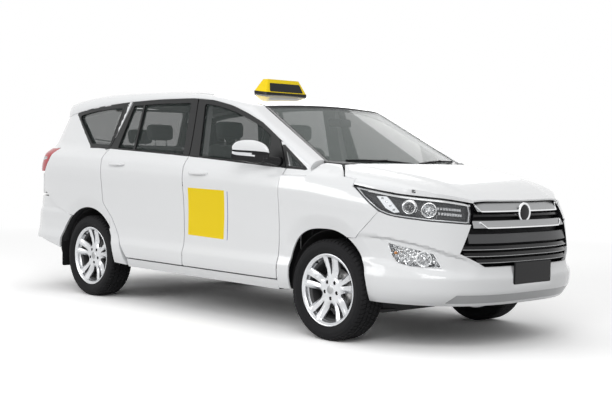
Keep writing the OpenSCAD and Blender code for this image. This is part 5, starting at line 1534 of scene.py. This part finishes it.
def face_surf(u, v):
    """Each spoke is a wide facet that falls to the slot and a narrow one to the window."""
    r = np.hypot(u, v)
    a = np.degrees(np.arctan2(v, u))
    d = np.abs((a - FIRST_SPOKE + STEP / 2) % STEP - STEP / 2)
    out = smooth((r - 70) / 70) * smooth((222 - r) / 12)
    return face_z(r) - out * (0.85 * np.maximum(13.5 - d, 0) + 2.6 * np.maximum(d - 13.5, 0))


def face_back(u, v):
    """The back of the face, which falls as its front does."""
    r = np.hypot(u, v)
    low = np.interp(r, [0, 60, 80, 204, 212, 224], [20, 20, 32, 62, 79, 86.3])
    return face_surf(u, v) + low - face_z(r)


def rim_face():
    """Points of the front and then the back of the spoked face, its triangles and borders."""
    rim = [polar(FACE_R, a) for a in np.linspace(0, 360, 181)[:-1]]
    P, T = fill(rim, rim_openings(), [], 10.0, 7.0)
    u, v = P[:, 0], P[:, 1]
    top, low = np.stack([u, v, face_surf(u, v)], 1), np.stack([u, v, face_back(u, v)], 1)
    return np.vstack([top, low]), T, border(T)


def build_wheels():
    verts, T, edges = rim_face()
    n = len(verts) // 2
    for name, x, s in WHEELS:
        body = "wheel_" + name
        W = wheel_place(x)
        # the barrel's inner faces take the near-black cast finish, a painted shade inside the rim
        ob = ring("rim_barrel_" + name, BARREL + [BARREL[0]], W, ["alloy", "cast_and_shade"], body, 96, s,
                  [0, 0, 0, 1] + [1] * 6 + [0] * 2 + [1] * 5 + [0] * 7, 0.8)
        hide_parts("rim_" + name)
        faces = [tuple(int(i) for i in t) for t in T]
        faces += [tuple(int(i) + n for i in t[::-1]) for t in T]
        faces += [(b, a, a + n, b + n) for a, b in edges]
        # the back of the spoked face takes the near-black cast finish, a painted shade
        fm = [0] * len(T) + [1] * len(T) + [0] * len(edges)
        V = [W @ Vector(p) for p in verts]
        V = [(p.x, p.y * s, p.z) for p in V]
        if s < 0:
            faces = [f[::-1] for f in faces]
        ob = add("rim_face_" + name, V, faces, ["alloy", "cast_and_shade"], body, fm)
        soften(ob, 2.2, 40)
        ring("rim_cap_" + name, [(0, 66), (20, 65.5), (25, 64), (27, 62.5), (29, 63.5), (31, 61),
                                 (31, 50), (28, 50)], W, ["satin_metal", "alloy"], body, 48, s,
             [0, 0, 0, 1, 1, 1, 1])
        for k in range(SPOKES):
            cx, cy = polar(NUT_R, FIRST_SPOKE + STEP / 2 + STEP * k)
            M = W @ Matrix.Translation((cx, cy, 0))
            # each nut is steel on top and dark on its sides, in a black cup: painted shade in the nut's
            # hole
            ring("nut_%s_%d" % (name, k), [(0, 48), (4.5, 47.5), (7.5, 45), (7.5, 36), (9, 35),
                                            (9, 34)], M, ["steel", "cast_and_shade"], body, 6, s,
                 [0, 0, 1, 1, 1], 0.6)
            ring("nut_well_%s_%d" % (name, k), [(12.4, 55), (12.2, 35), (0, 34.5)], M,
                 ["black_satin"], body, 24, s)
        M = W @ Matrix.Rotation(math.radians(234), 4, "Z") @ Matrix.Translation((206, 0, 62))
        ring("valve_" + name, [(0, 18), (3.5, 18), (4, 6), (5.5, 5), (5.5, -4), (0, -4)], M,
             ["black_satin"], body, 12, s)
        ring("brake_disc_" + name, [(30, -6), (138, -6), (138, -28), (30, -28), (30, -6)], W,
             ["steel", "cast_and_shade"], body, 72, s, [0, 1, 0, 1])
        ring("hub_" + name, [(0, 32), (60, 32), (70, 26), (70, -7), (0, -7)], W, ["cast_and_shade"], body,
             48, s)
        tyre(name, W, body, s)


def tyre(name, W, body, s):
    """Carcass with an outer shoulder, side rings and a tread of blocks between grooves."""
    r, h, f = TYRE_R, TYRE_H, RIM_R
    half = [(BEAD_R + 0.5, HALF_RIM - 42), (BEAD_R + 0.5, HALF_RIM - 14), (f - 12, HALF_RIM - 9),
            (f + 1, HALF_RIM - 7), (f + 8, h - 14), (f + 18, h - 8), (f + 20, h - 7.2),
            (f + 24, h - 7.0), (f + 26, h - 5.2), (f + 34, h - 2), (f + 44, h - 0.2),
            (f + 52, h - 0.4), (f + 54, h - 1.8), (f + 58, h - 1.9), (f + 60, h - 1.6),
            (r - 24, h - 6), (r - 14, h - 13)]
    lo = r - 9.0
    inner = [(f - 8, HALF_RIM - 44), (f + 10, HALF_RIM - 20), (f + 40, h - 14), (r - 32, h - 18),
             (r - 18, h - 44)]
    prof = half + [(lo, h - 24)] + [(lo, 24 - h)] + [(a, -b) for a, b in half[::-1]]
    prof += [(a, -b) for a, b in inner] + inner[::-1] + [half[0]]
    ob = ring("tyre_carcass_" + name, prof, W, ["rubber"], body, 96, s)
    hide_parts("tyre_" + name)
    # tread blocks: five ribs, the outer two cut across
    V, F = [], []
    n = 64
    ribs = [(-97, -62), (-55, -22), (-15, 15), (22, 55), (62, 97)]
    for i, (z0, z1) in enumerate(ribs):
        side = i in (0, 4)
        for k in range(n):
            gap = 0.80 if side else 0.88
            a0 = 2 * math.pi * (k + (0.5 if i % 2 else 0)) / n
            a1 = a0 + 2 * math.pi / n * gap
            skew = (0.018 if i > 2 else -0.018) if i != 2 else 0.0
            b = len(V)
            m = 4 if side else 2
            for j in range(m):
                t = j / (m - 1)
                z = z0 + (z1 - z0) * t
                edge = abs(z) - 72
                top = r - (11.5 * (edge / 25) ** 2 if edge > 0 else 0.0)
                base = lo - 2 if abs(z) < 90 else top - 5
                turn = skew * (t - 0.5) * 2
                for a in (a0 + turn, a1 + turn):
                    V += [(q * math.cos(a), q * math.sin(a), z) for q in (top, base)]
            for j in range(m - 1):
                p = b + 4 * j
                F.append((p, p + 2, p + 6, p + 4))
                F.append((p + 1, p + 5, p + 7, p + 3))
                F.append((p, p + 4, p + 5, p + 1))
                F.append((p + 2, p + 3, p + 7, p + 6))
            F.append((b, b + 1, b + 3, b + 2))
            e = b + 4 * (m - 1)
            F.append((e, e + 2, e + 3, e + 1))
    M = [W @ Vector(p) for p in V]
    M = [(p.x, p.y * s, p.z) for p in M]
    if s < 0:
        F = [q[::-1] for q in F]
    add("tyre_tread_" + name, M, F, ["rubber"], body, smooth_shade=False)


def build_sign():
    zr, zf = float(roof_z(-98, 0)) + 2, float(roof_z(52, 0)) + 2
    top = zr + 105.5
    lower = rounded([(-98, -215), (52, -215), (52, 215), (-98, 215)], 14, 5)
    upper = rounded([(-52, -165), (8, -165), (8, 165), (-52, 165)], 14, 5)
    st = []
    for h, t in ((0, 0.0), (13, 0.0), (16, 0.02)):
        row = [(mix(p[0], q[0], t), mix(p[1], q[1], t)) for p, q in zip(lower, upper)]
        st.append([(x, y, mix(zr, zf, (x + 98) / 150) + h if h else float(roof_z(x, y)) - 1)
                   for x, y in row])
    sweep("sign_base", st, ["black_gloss"], "body", soft=1.0)
    st = []
    for t in (0.0, 0.3, 0.6, 0.88, 0.96, 1.0):
        k = 0.04 + 0.94 * t
        st.append([(mix(p[0], q[0], k), mix(p[1], q[1], k),
                    mix(mix(zr, zf, (p[0] + 98) / 150) + 16, top - 1, t))
                   for p, q in zip(lower, upper)])
    ob = sweep("sign_box", st, ["yellow"], "body", soft=2.5)
    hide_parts("taxi_sign")
    # blank panels on the front and the back faces
    for k, (x0, x1, o) in enumerate(((51, 9, 1), (-97, -53, -1))):
        pts = rounded([(-176, 14), (176, 14), (156, 92), (-156, 92)], 9, 5)
        front, back = [], []
        for y, h in pts:
            z = mix(zr, zf, 1 if o > 0 else 0) + 10 + h * 0.86
            t = unit((z - (zf if o > 0 else zr) - 16) / (top - (zf if o > 0 else zr) - 17))
            x = mix(x0, x1, 0.04 + 0.94 * t)
            front.append((x + 1.4 * o, y, z + 0.4))
            back.append((x - 3 * o, y, z - 0.4))
        sweep("sign_panel_%d" % k, [back, front], ["black_gloss"], "body", soft=0.6)
    for k, (x, y) in enumerate(((-70, -150), (-70, 150), (24, -150), (24, 150))):
        z = float(roof_z(x, y))
        lathe("sign_foot_%d" % k, [(0, 15), (12, 15), (16, 6), (18, 1), (18, -2)],
              turned((x, y, z), (0, 0, 1)), ["black_satin"], "body", 24)


# Cabin
CUSHION = [(10, 28), (490, 22), (524, 60), (500, 100), (380, 112), (160, 92), (46, 96), (2, 60)]
BACK = [(30, 106), (36, 130), (-10, 300), (-70, 460), (-122, 576), (-176, 586), (-216, 570),
        (-190, 440), (-134, 230), (-74, 88)]
REST = [(-156, 620), (-150, 700), (-170, 744), (-222, 746), (-232, 690), (-216, 616)]


def pad(poly, wide, r, cap):
    """An upholstered pad: a loft drawn in at its ends, then swollen and sewn.
    Gives its points in mm about y = 0, and its faces."""
    poly = rounded(poly, r, 4)
    c = np.mean(np.array(poly), 0)
    st = []
    for t in np.linspace(-0.5, 0.5, 25):
        k = 1 - 0.16 * abs(2 * t) ** 9
        st.append([(c[0] + (p[0] - c[0]) * k, t * wide, c[1] + (p[1] - c[1]) * k) for p in poly])
    m = len(poly)
    V = [p for row in st for p in row]
    F = [(i * m + j, i * m + (j + 1) % m, (i + 1) * m + (j + 1) % m, (i + 1) * m + j)
         for i in range(len(st) - 1) for j in range(m)]
    F += [tuple(range(m - 1, -1, -1)), tuple(range((len(st) - 1) * m, len(st) * m))]
    me = bpy.data.meshes.new("pad")
    me.from_pydata([tuple(np.array(v) / 1000) for v in V], [], F)
    ob = bpy.data.objects.new("pad", me)
    scene.collection.objects.link(ob)
    bpy.context.view_layer.objects.active = ob
    rm = ob.modifiers.new("voxels", "REMESH")
    rm.mode, rm.voxel_size, rm.use_smooth_shade = "VOXEL", 0.011, True
    start = read_points(ob)
    cl = ob.modifiers.new("swell", "CLOTH")
    cl.settings.use_pressure = True
    cl.settings.uniform_pressure_force = 4.0
    cl.settings.effector_weights.gravity = 0.0
    cl.settings.quality = 4
    for f in range(1, 21):
        scene.frame_set(f)
    end = read_points(ob)
    scene.frame_set(1)
    if end.shape == start.shape:
        move = end - start
        far = np.linalg.norm(move, axis=1, keepdims=True)
        start = start + move * np.minimum(1, cap / 1000 / np.maximum(far, 1e-9))
    dg = bpy.context.evaluated_depsgraph_get()
    ob.modifiers.remove(ob.modifiers["swell"])
    dg.update()
    em = ob.evaluated_get(dg).to_mesh()
    faces = [tuple(q.vertices) for q in em.polygons]
    ob.evaluated_get(dg).to_mesh_clear()
    bpy.data.objects.remove(ob)
    P = start * 1000
    # sewn channels: two running front to back
    C = np.array([c[0], 0, c[1]])
    out = P - C
    out[:, 1] = 0
    out /= np.maximum(np.linalg.norm(out, axis=1, keepdims=True), 1)
    if wide > 300:
        for y in (-0.27, 0.27):
            P = P - out * (7 * np.exp(-((P[:, 1] - y * wide) / 9) ** 2))[:, None]
    return P, faces


def read_points(ob):
    dg = bpy.context.evaluated_depsgraph_get()
    ev = ob.evaluated_get(dg)
    me = ev.to_mesh()
    out = np.empty(len(me.vertices) * 3)
    me.vertices.foreach_get("co", out)
    ev.to_mesh_clear()
    return out.reshape(-1, 3)


SEATS = [("front_right", 0, 690, -370, 500), ("front_left", 0, 690, 370, 500),
         ("second_right", -900, 670, -370, 540), ("second_left", -900, 670, 370, 540),
         ("third", -1700, 640, 0, 900)]


def build_seats():
    shapes = [("cushion", pad(CUSHION, 488, 20, 22)), ("back", pad(BACK, 478, 22, 22)),
              ("rest", pad(REST, 228, 20, 12))]
    for name, x, z, y, w in SEATS:
        for key, (P, F) in shapes:
            k = w / 500 if key != "rest" else 1.0
            V = P * np.array([1, k, 1]) + np.array([x, y, z])
            ob = add("seat_%s_%s" % (name, key), V, F, ["cloth"], "body")
        for e in (-55, 55):
            tube("seat_%s_post_%d" % (name, e > 0), [(x - 166, y + e, z + 540),
                                                     (x - 190, y + e, z + 660)], 5, ["chrome"],
                 "body")
        # plinth under the cushion
        deep = 440 if name.startswith("front") else 400
        foot, pw = (560, 800) if name == "third" else (450, 400)
        M = Matrix.Translation((x + deep / 2, y, (z + foot) / 2 + 12))
        block("seat_%s_plinth" % name, M, (deep, pw, z - foot + 22), 12, ["trim"], "body",
              taper=0.97)
    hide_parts("front_seats")
    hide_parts("second_row_seat")
    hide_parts("third_row_seat")


def prism(name, poly, y0, y1, mats, body, mirror=1, soft=0.8):
    """Outline of (x, z) points between y0 and y1."""
    st = [[(x, y, z) for x, z in poly] for y in (y0, y1)]
    return sweep(name, st, mats, body, mirror=mirror, soft=soft)


def build_steering_wheel():
    M = Matrix.Translation((745, -370, 960)) @ Matrix.Rotation(math.radians(-62), 4, "Y") \
        @ Matrix.Translation((0, 0, 60))
    grip = [(180 + 13.5 * math.cos(a), 13.5 * math.sin(a)) for a in np.linspace(0, 2 * math.pi, 17)]
    ob = lathe("wheel_rim", grip, M, ["black_satin"], "steering_wheel", 72)
    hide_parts("steering_wheel")
    lathe("wheel_pad", [(0, 14), (30, 13), (52, 8), (60, -2), (56, -12), (24, -15), (20, -18),
                        (19, -140), (0, -140)], M, ["trim"], "steering_wheel", 48)
    for i, a in enumerate((0, 120, 240)):
        R = M @ Matrix.Rotation(math.radians(a + 180), 4, "Z") @ Matrix.Translation((112, 0, 0))
        block("wheel_spoke_%d" % i, R, (132, 30, 13), 5, ["satin_metal"], "steering_wheel",
              taper=0.8)


def build_dash_fittings():
    """Binnacle, centre screen and vents."""
    hood = [(790, 1098), (800, 1136), (830, 1150), (930, 1130), (960, 1100)]
    prism("binnacle", rounded(hood, 10, 3), -520, -220, ["trim"], "body", soft=8)
    M = turned((776, 0, 1000), (-1, 0, -0.12))
    block("centre_screen", M, (250, 150, 14), 10, ["black_gloss"], "body")
    for i, y in enumerate((-620, -170, 170, 620)):
        M = turned((771, y, 985), (-1, 0, -0.1))
        block("vent_%d" % i, M, (118, 74, 12), 12, ["satin_metal"], "body")
        for k in range(4):
            M = turned((763, y, 962 + 15 * k), (-1, 0, -0.1))
            block("vent_%d_%d" % (i, k), M, (102, 5, 6), 1.5, ["black_satin"], "body")


def build_inside_mirror():
    M = turned((634, 0, 1436), (-1, 0, -0.12))
    block("inside_mirror", M, (226, 60, 18), 18, ["black_satin"], "body", taper=0.95)
    tube("inside_mirror_stem", [(642, 0, 1440), (676, 0, 1462), (686, 0, 1474)], 7,
         ["black_satin"], "body")


def build_headliner():
    xs, ys = np.linspace(-1950, 440, 40), np.linspace(-560, 560, 24)
    V = [(x, y, float(roof_z(x, y)) - 36) for x in xs for y in ys]
    m = len(ys)
    F = [(i * m + j, i * m + j + 1, (i + 1) * m + j + 1, (i + 1) * m + j)
         for i in range(len(xs) - 1) for j in range(m - 1)]
    add("headliner", V, F, ["lining"], "body")


def door_handles(name, s):
    """Grips on two feet over dished bowls."""
    for part, hx, hz in (("front", 103, 1046), ("rear", -925, 1088)):
        body = "door_%s_%s" % (part, name)
        st = []
        for t in np.linspace(-1, 1, 29):
            x = hx + 106 * t
            lift = 26 - 23 * float(smooth((abs(t) - 0.66) / 0.34))
            y = float(body_y(x, hz)) + lift - 2
            h, d = 11 - 2.5 * t * t, 5.5
            z = hz - 2 * (1 - t * t)
            st.append([(x, y + d * math.cos(a), z + h * math.sin(a))
                       for a in np.linspace(0, 2 * math.pi, 17)[:-1]])
        sweep("handle_%s_%s" % (part, name), st, ["paint"], body, mirror=s)
        # bowl behind the grip, drawn as a shallow dished oval
        V, F = [], []
        n, rings = 40, 5
        for k in range(rings):
            q = 1 - k / rings
            for i in range(n):
                a = 2 * math.pi * i / n
                x, z = hx - 4 + 62 * q * math.cos(a), hz + 21 * q * math.sin(a)
                V.append((x, float(body_y(x, z)) + (0.2 if k == 0 else 0.9 - 0.25 * k), z))
        V.append((hx - 4, float(body_y(hx, hz)) + 0.1, hz))
        for k in range(rings - 1):
            for i in range(n):
                j = (i + 1) % n
                F.append((k * n + i, k * n + j, (k + 1) * n + j, (k + 1) * n + i))
        F += [((rings - 1) * n + i, (rings - 1) * n + (i + 1) % n, rings * n)
              for i in range(n)]
        if s < 0:
            V = [(p[0], -p[1], p[2]) for p in V]
        else:
            F = [f[::-1] for f in F]
        add("handle_bowl_%s_%s" % (part, name), V, F, ["paint"], body)


def door_lock(name, s):
    y = float(body_y(196, 1042))
    lathe("door_lock_" + name, [(0, 3), (7, 3), (9, 1.5), (9.5, -3)],
          turned((196, y, 1042), (0, 1, 0)), ["chrome"], "door_front_" + name, 24, None, 0, s)


def belt_strips(name, s):
    """Black strips along the foot of the windows."""
    for key, body, x0, x1 in (("front", "door_front_" + name, -70, 958),
                              ("rear", "door_rear_" + name, -1136, -92),
                              ("quarter", "body", -1412, -1158)):
        st = []
        for x in np.linspace(x0, x1, 26):
            z = float(belt_z(x)) + 7
            y = float(body_y(x, z))
            st.append([(x, y - 3, z - 7), (x, y + 2.4, z - 6), (x, y + 2.8, z + 4),
                       (x, y - 3, z + 8)])
        sweep("belt_%s_%s" % (key, name), st, ["black_gloss"], body, mirror=s, soft=0.8)


def hinge_pins(name, s):
    for part, x in HINGES.items():
        for i, z in enumerate(STRAP_Z):
            lathe("hinge_pin_%s_%s_%d" % (part, name, i),
                  [(0, 27), (4.2, 27), (5, 26), (5, -26), (4.2, -27), (0, -27)],
                  Matrix.Translation((x, HINGE_Y, z)), ["steel"],
                  "door_%s_%s" % (part, name), 20, None, 0, s)


def mudflap(name, s):
    """Flap behind the rear wheel."""
    flap = rounded([(700, 212), (879, 212), (881, 418), (702, 418)], [16, 16, 3, 3], 4)
    st = [[(x, p[0], p[1]) for p in flap] for x in (-1751.5, -1746.5)]
    ob = sweep("mudflap_" + name, st, ["rubber"], "body", mirror=s, soft=1.0)
    if s > 0:
        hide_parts("mudflaps")


def lid_arms(name, s):
    """Hinge arms of the hood and the tailgate."""
    top = float(hood_z(1405, 557)) - 15
    prism("hood_arm_" + name, [(1327, 1093), (1341, 1076), (1425, top - 4), (1397, top)], 552.5,
          561.5, ["cast_and_shade"], "hood", s)
    lathe("hood_knuckle_" + name, [(6.2, -4.5), (13, -4.5), (14, -3.5), (14, 3.5), (13, 4.5),
                                   (6.2, 4.5), (6.2, -4.5)],
          turned((1335, 557, 1085), (0, 1, 0)), ["cast_and_shade"], "hood", 32, None, 0, s)
    prism("gate_arm_" + name, [(-2074, 1568), (-2042, 1568), (-2040, 1584), (-2074, 1584)],
          352.5, 361.5, ["cast_and_shade"], "tailgate", s)
    lathe("gate_knuckle_" + name, [(5.2, -4.5), (9, -4.5), (10, -3.5), (10, 3.5), (9, 4.5),
                                   (5.2, 4.5), (5.2, -4.5)],
          turned((-2040, 357, 1588), (0, 1, 0)), ["cast_and_shade"], "tailgate", 32, None, 0, s)


def build_fittings():
    for name, s in SIDES:
        door_handles(name, s)
        door_lock(name, s)
        belt_strips(name, s)
        hinge_pins(name, s)
        mudflap(name, s)
        lid_arms(name, s)


# The solids that stay in view get a finish and softened edges
KEPT = {"frame_rail_left": "underbody", "frame_rail_right": "underbody",
        "cross_members": "underbody", "front_suspension": "cast_and_shade", "rear_axle": "cast_and_shade",
        "engine_block": "cast_and_shade", "fuel_tank": "underbody", "exhaust": "steel",
        "spare_wheel": "rubber", "floor_pan": "carpet", "wheelhouses": "underbody",
        "radiator_support": "black_satin", "side_frame_left": "paint",
        "side_frame_right": "paint", "dashboard": "trim", "knuckle_left": "cast_and_shade",
        "knuckle_right": "cast_and_shade"}


def dress_frame():
    for n, mat in KEPT.items():
        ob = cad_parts[n]
        ob.data.materials.clear()
        ob.data.materials.append(MAT[mat])
        inner = [0] * len(ob.data.polygons)
        if mat == "paint":
            # what the front arch shows of the side frame is black
            ob.data.materials.append(MAT["black_satin"])
            for f in ob.data.polygons:
                c = ob.matrix_world @ f.center * 1000
                inner[f.index] = int(c.x > 925 and c.z < 800 and f.normal.x > 0.2)
        ob.data.polygons.foreach_set("material_index", inner)
        soften(ob, 1.2, 35)


# Floor, world and lamps; places are in metres
FLOOR_SEEN, FLOOR_BOUNCE, AMBIENT = 1.30, 0.34, 0.52
FADE = (4.0, 9.0)  # reach over which the floor turns into the white behind it
FLOOR_REACH = 80.0
# name, place, aim, size, power
LAMPS = [("key", (5.5, -5.5, 4.5), (0.3, 0, 0.7), (4.0, 4.0), 225),
         ("top", (0.0, 0.0, 6.5), (0, 0, 0), (7.0, 5.0), 45),
         ("side", (-2.5, -7.0, 3.0), (-0.5, 0, 0.8), (5.0, 2.5), 150),
         ("back", (-4.5, 6.0, 4.0), (0, 0, 0.8), (5.0, 3.0), 80)]


def rays(tree):
    """1 for camera, glossy and transmission rays, else 0."""
    lp = tree.nodes.new("ShaderNodeLightPath")
    a = tree.nodes.new("ShaderNodeMath")
    b = tree.nodes.new("ShaderNodeMath")
    a.operation = b.operation = "MAXIMUM"
    tree.links.new(lp.outputs["Is Camera Ray"], a.inputs[0])
    tree.links.new(lp.outputs["Is Glossy Ray"], a.inputs[1])
    tree.links.new(a.outputs[0], b.inputs[0])
    tree.links.new(lp.outputs["Is Transmission Ray"], b.inputs[1])
    return b.outputs[0]


def build_stage():
    me = bpy.data.meshes.new("floor")
    r = FLOOR_REACH
    me.from_pydata([(-r, -r, 0), (r, -r, 0), (r, r, 0), (-r, r, 0)], [], [(0, 1, 2, 3)])
    floor = bpy.data.objects.new("floor", me)
    scene.collection.objects.link(floor)
    m = bpy.data.materials.new("floor")
    m.use_nodes = True
    t = m.node_tree
    t.nodes.clear()
    out = t.nodes.new("ShaderNodeOutputMaterial")
    plain = t.nodes.new("ShaderNodeBsdfDiffuse")
    plain.inputs["Color"].default_value = (*[FLOOR_BOUNCE] * 3, 1)
    seen = t.nodes.new("ShaderNodeBsdfDiffuse")
    seen.inputs["Color"].default_value = (*[FLOOR_SEEN] * 3, 1)
    mixer = t.nodes.new("ShaderNodeMixShader")
    t.links.new(rays(t), mixer.inputs["Fac"])
    t.links.new(plain.outputs[0], mixer.inputs[1])
    # far from the object the floor fades into the white behind it
    tc = t.nodes.new("ShaderNodeTexCoord")
    far = t.nodes.new("ShaderNodeVectorMath")
    far.operation = "LENGTH"
    fade = t.nodes.new("ShaderNodeMapRange")
    fade.inputs["From Min"].default_value, fade.inputs["From Max"].default_value = FADE
    white = t.nodes.new("ShaderNodeEmission")
    wide = t.nodes.new("ShaderNodeMixShader")
    t.links.new(tc.outputs["Object"], far.inputs[0])
    t.links.new(far.outputs["Value"], fade.inputs["Value"])
    t.links.new(fade.outputs["Result"], wide.inputs["Fac"])
    t.links.new(seen.outputs[0], wide.inputs[1])
    t.links.new(white.outputs[0], wide.inputs[2])
    t.links.new(wide.outputs[0], mixer.inputs[2])
    t.links.new(mixer.outputs[0], out.inputs["Surface"])
    me.materials.append(m)


def build_world():
    w = bpy.data.worlds.new("world")
    scene.world = w
    w.use_nodes = True
    t = w.node_tree
    bg = t.nodes["Background"]
    bg.inputs["Color"].default_value = (1, 1, 1, 1)
    ramp = t.nodes.new("ShaderNodeMapRange")
    ramp.inputs["To Min"].default_value, ramp.inputs["To Max"].default_value = AMBIENT, 1.0
    t.links.new(rays(t), ramp.inputs["Value"])
    t.links.new(ramp.outputs["Result"], bg.inputs["Strength"])


def build_lights():
    for name, place, aim, size, power in LAMPS:
        d = bpy.data.lights.new(name, "AREA")
        d.shape, d.size, d.size_y, d.energy = "RECTANGLE", size[0], size[1], power
        ob = bpy.data.objects.new(name, d)
        scene.collection.objects.link(ob)
        z = (Vector(place) - Vector(aim)).normalized()
        ob.matrix_world = Matrix.Translation(place) @ z.to_track_quat("Z", "Y").to_matrix().to_4x4()


dress_frame()
build_doors()
build_glass()
build_quarters()
build_liners()
build_fenders()
build_hood()
build_roof()
build_rails()
build_screen()
build_bumper()
build_grille()
build_lamps()
build_rear_bumper()
build_tailgate()
build_gate_fittings()
build_tail_lamps()
build_cowl()
build_mirrors()
build_wheels()
build_sign()
build_seats()
build_steering_wheel()
build_dash_fittings()
build_inside_mirror()
build_headliner()
build_fittings()
build_stage()
build_world()
build_lights()
bpy.context.view_layer.update()
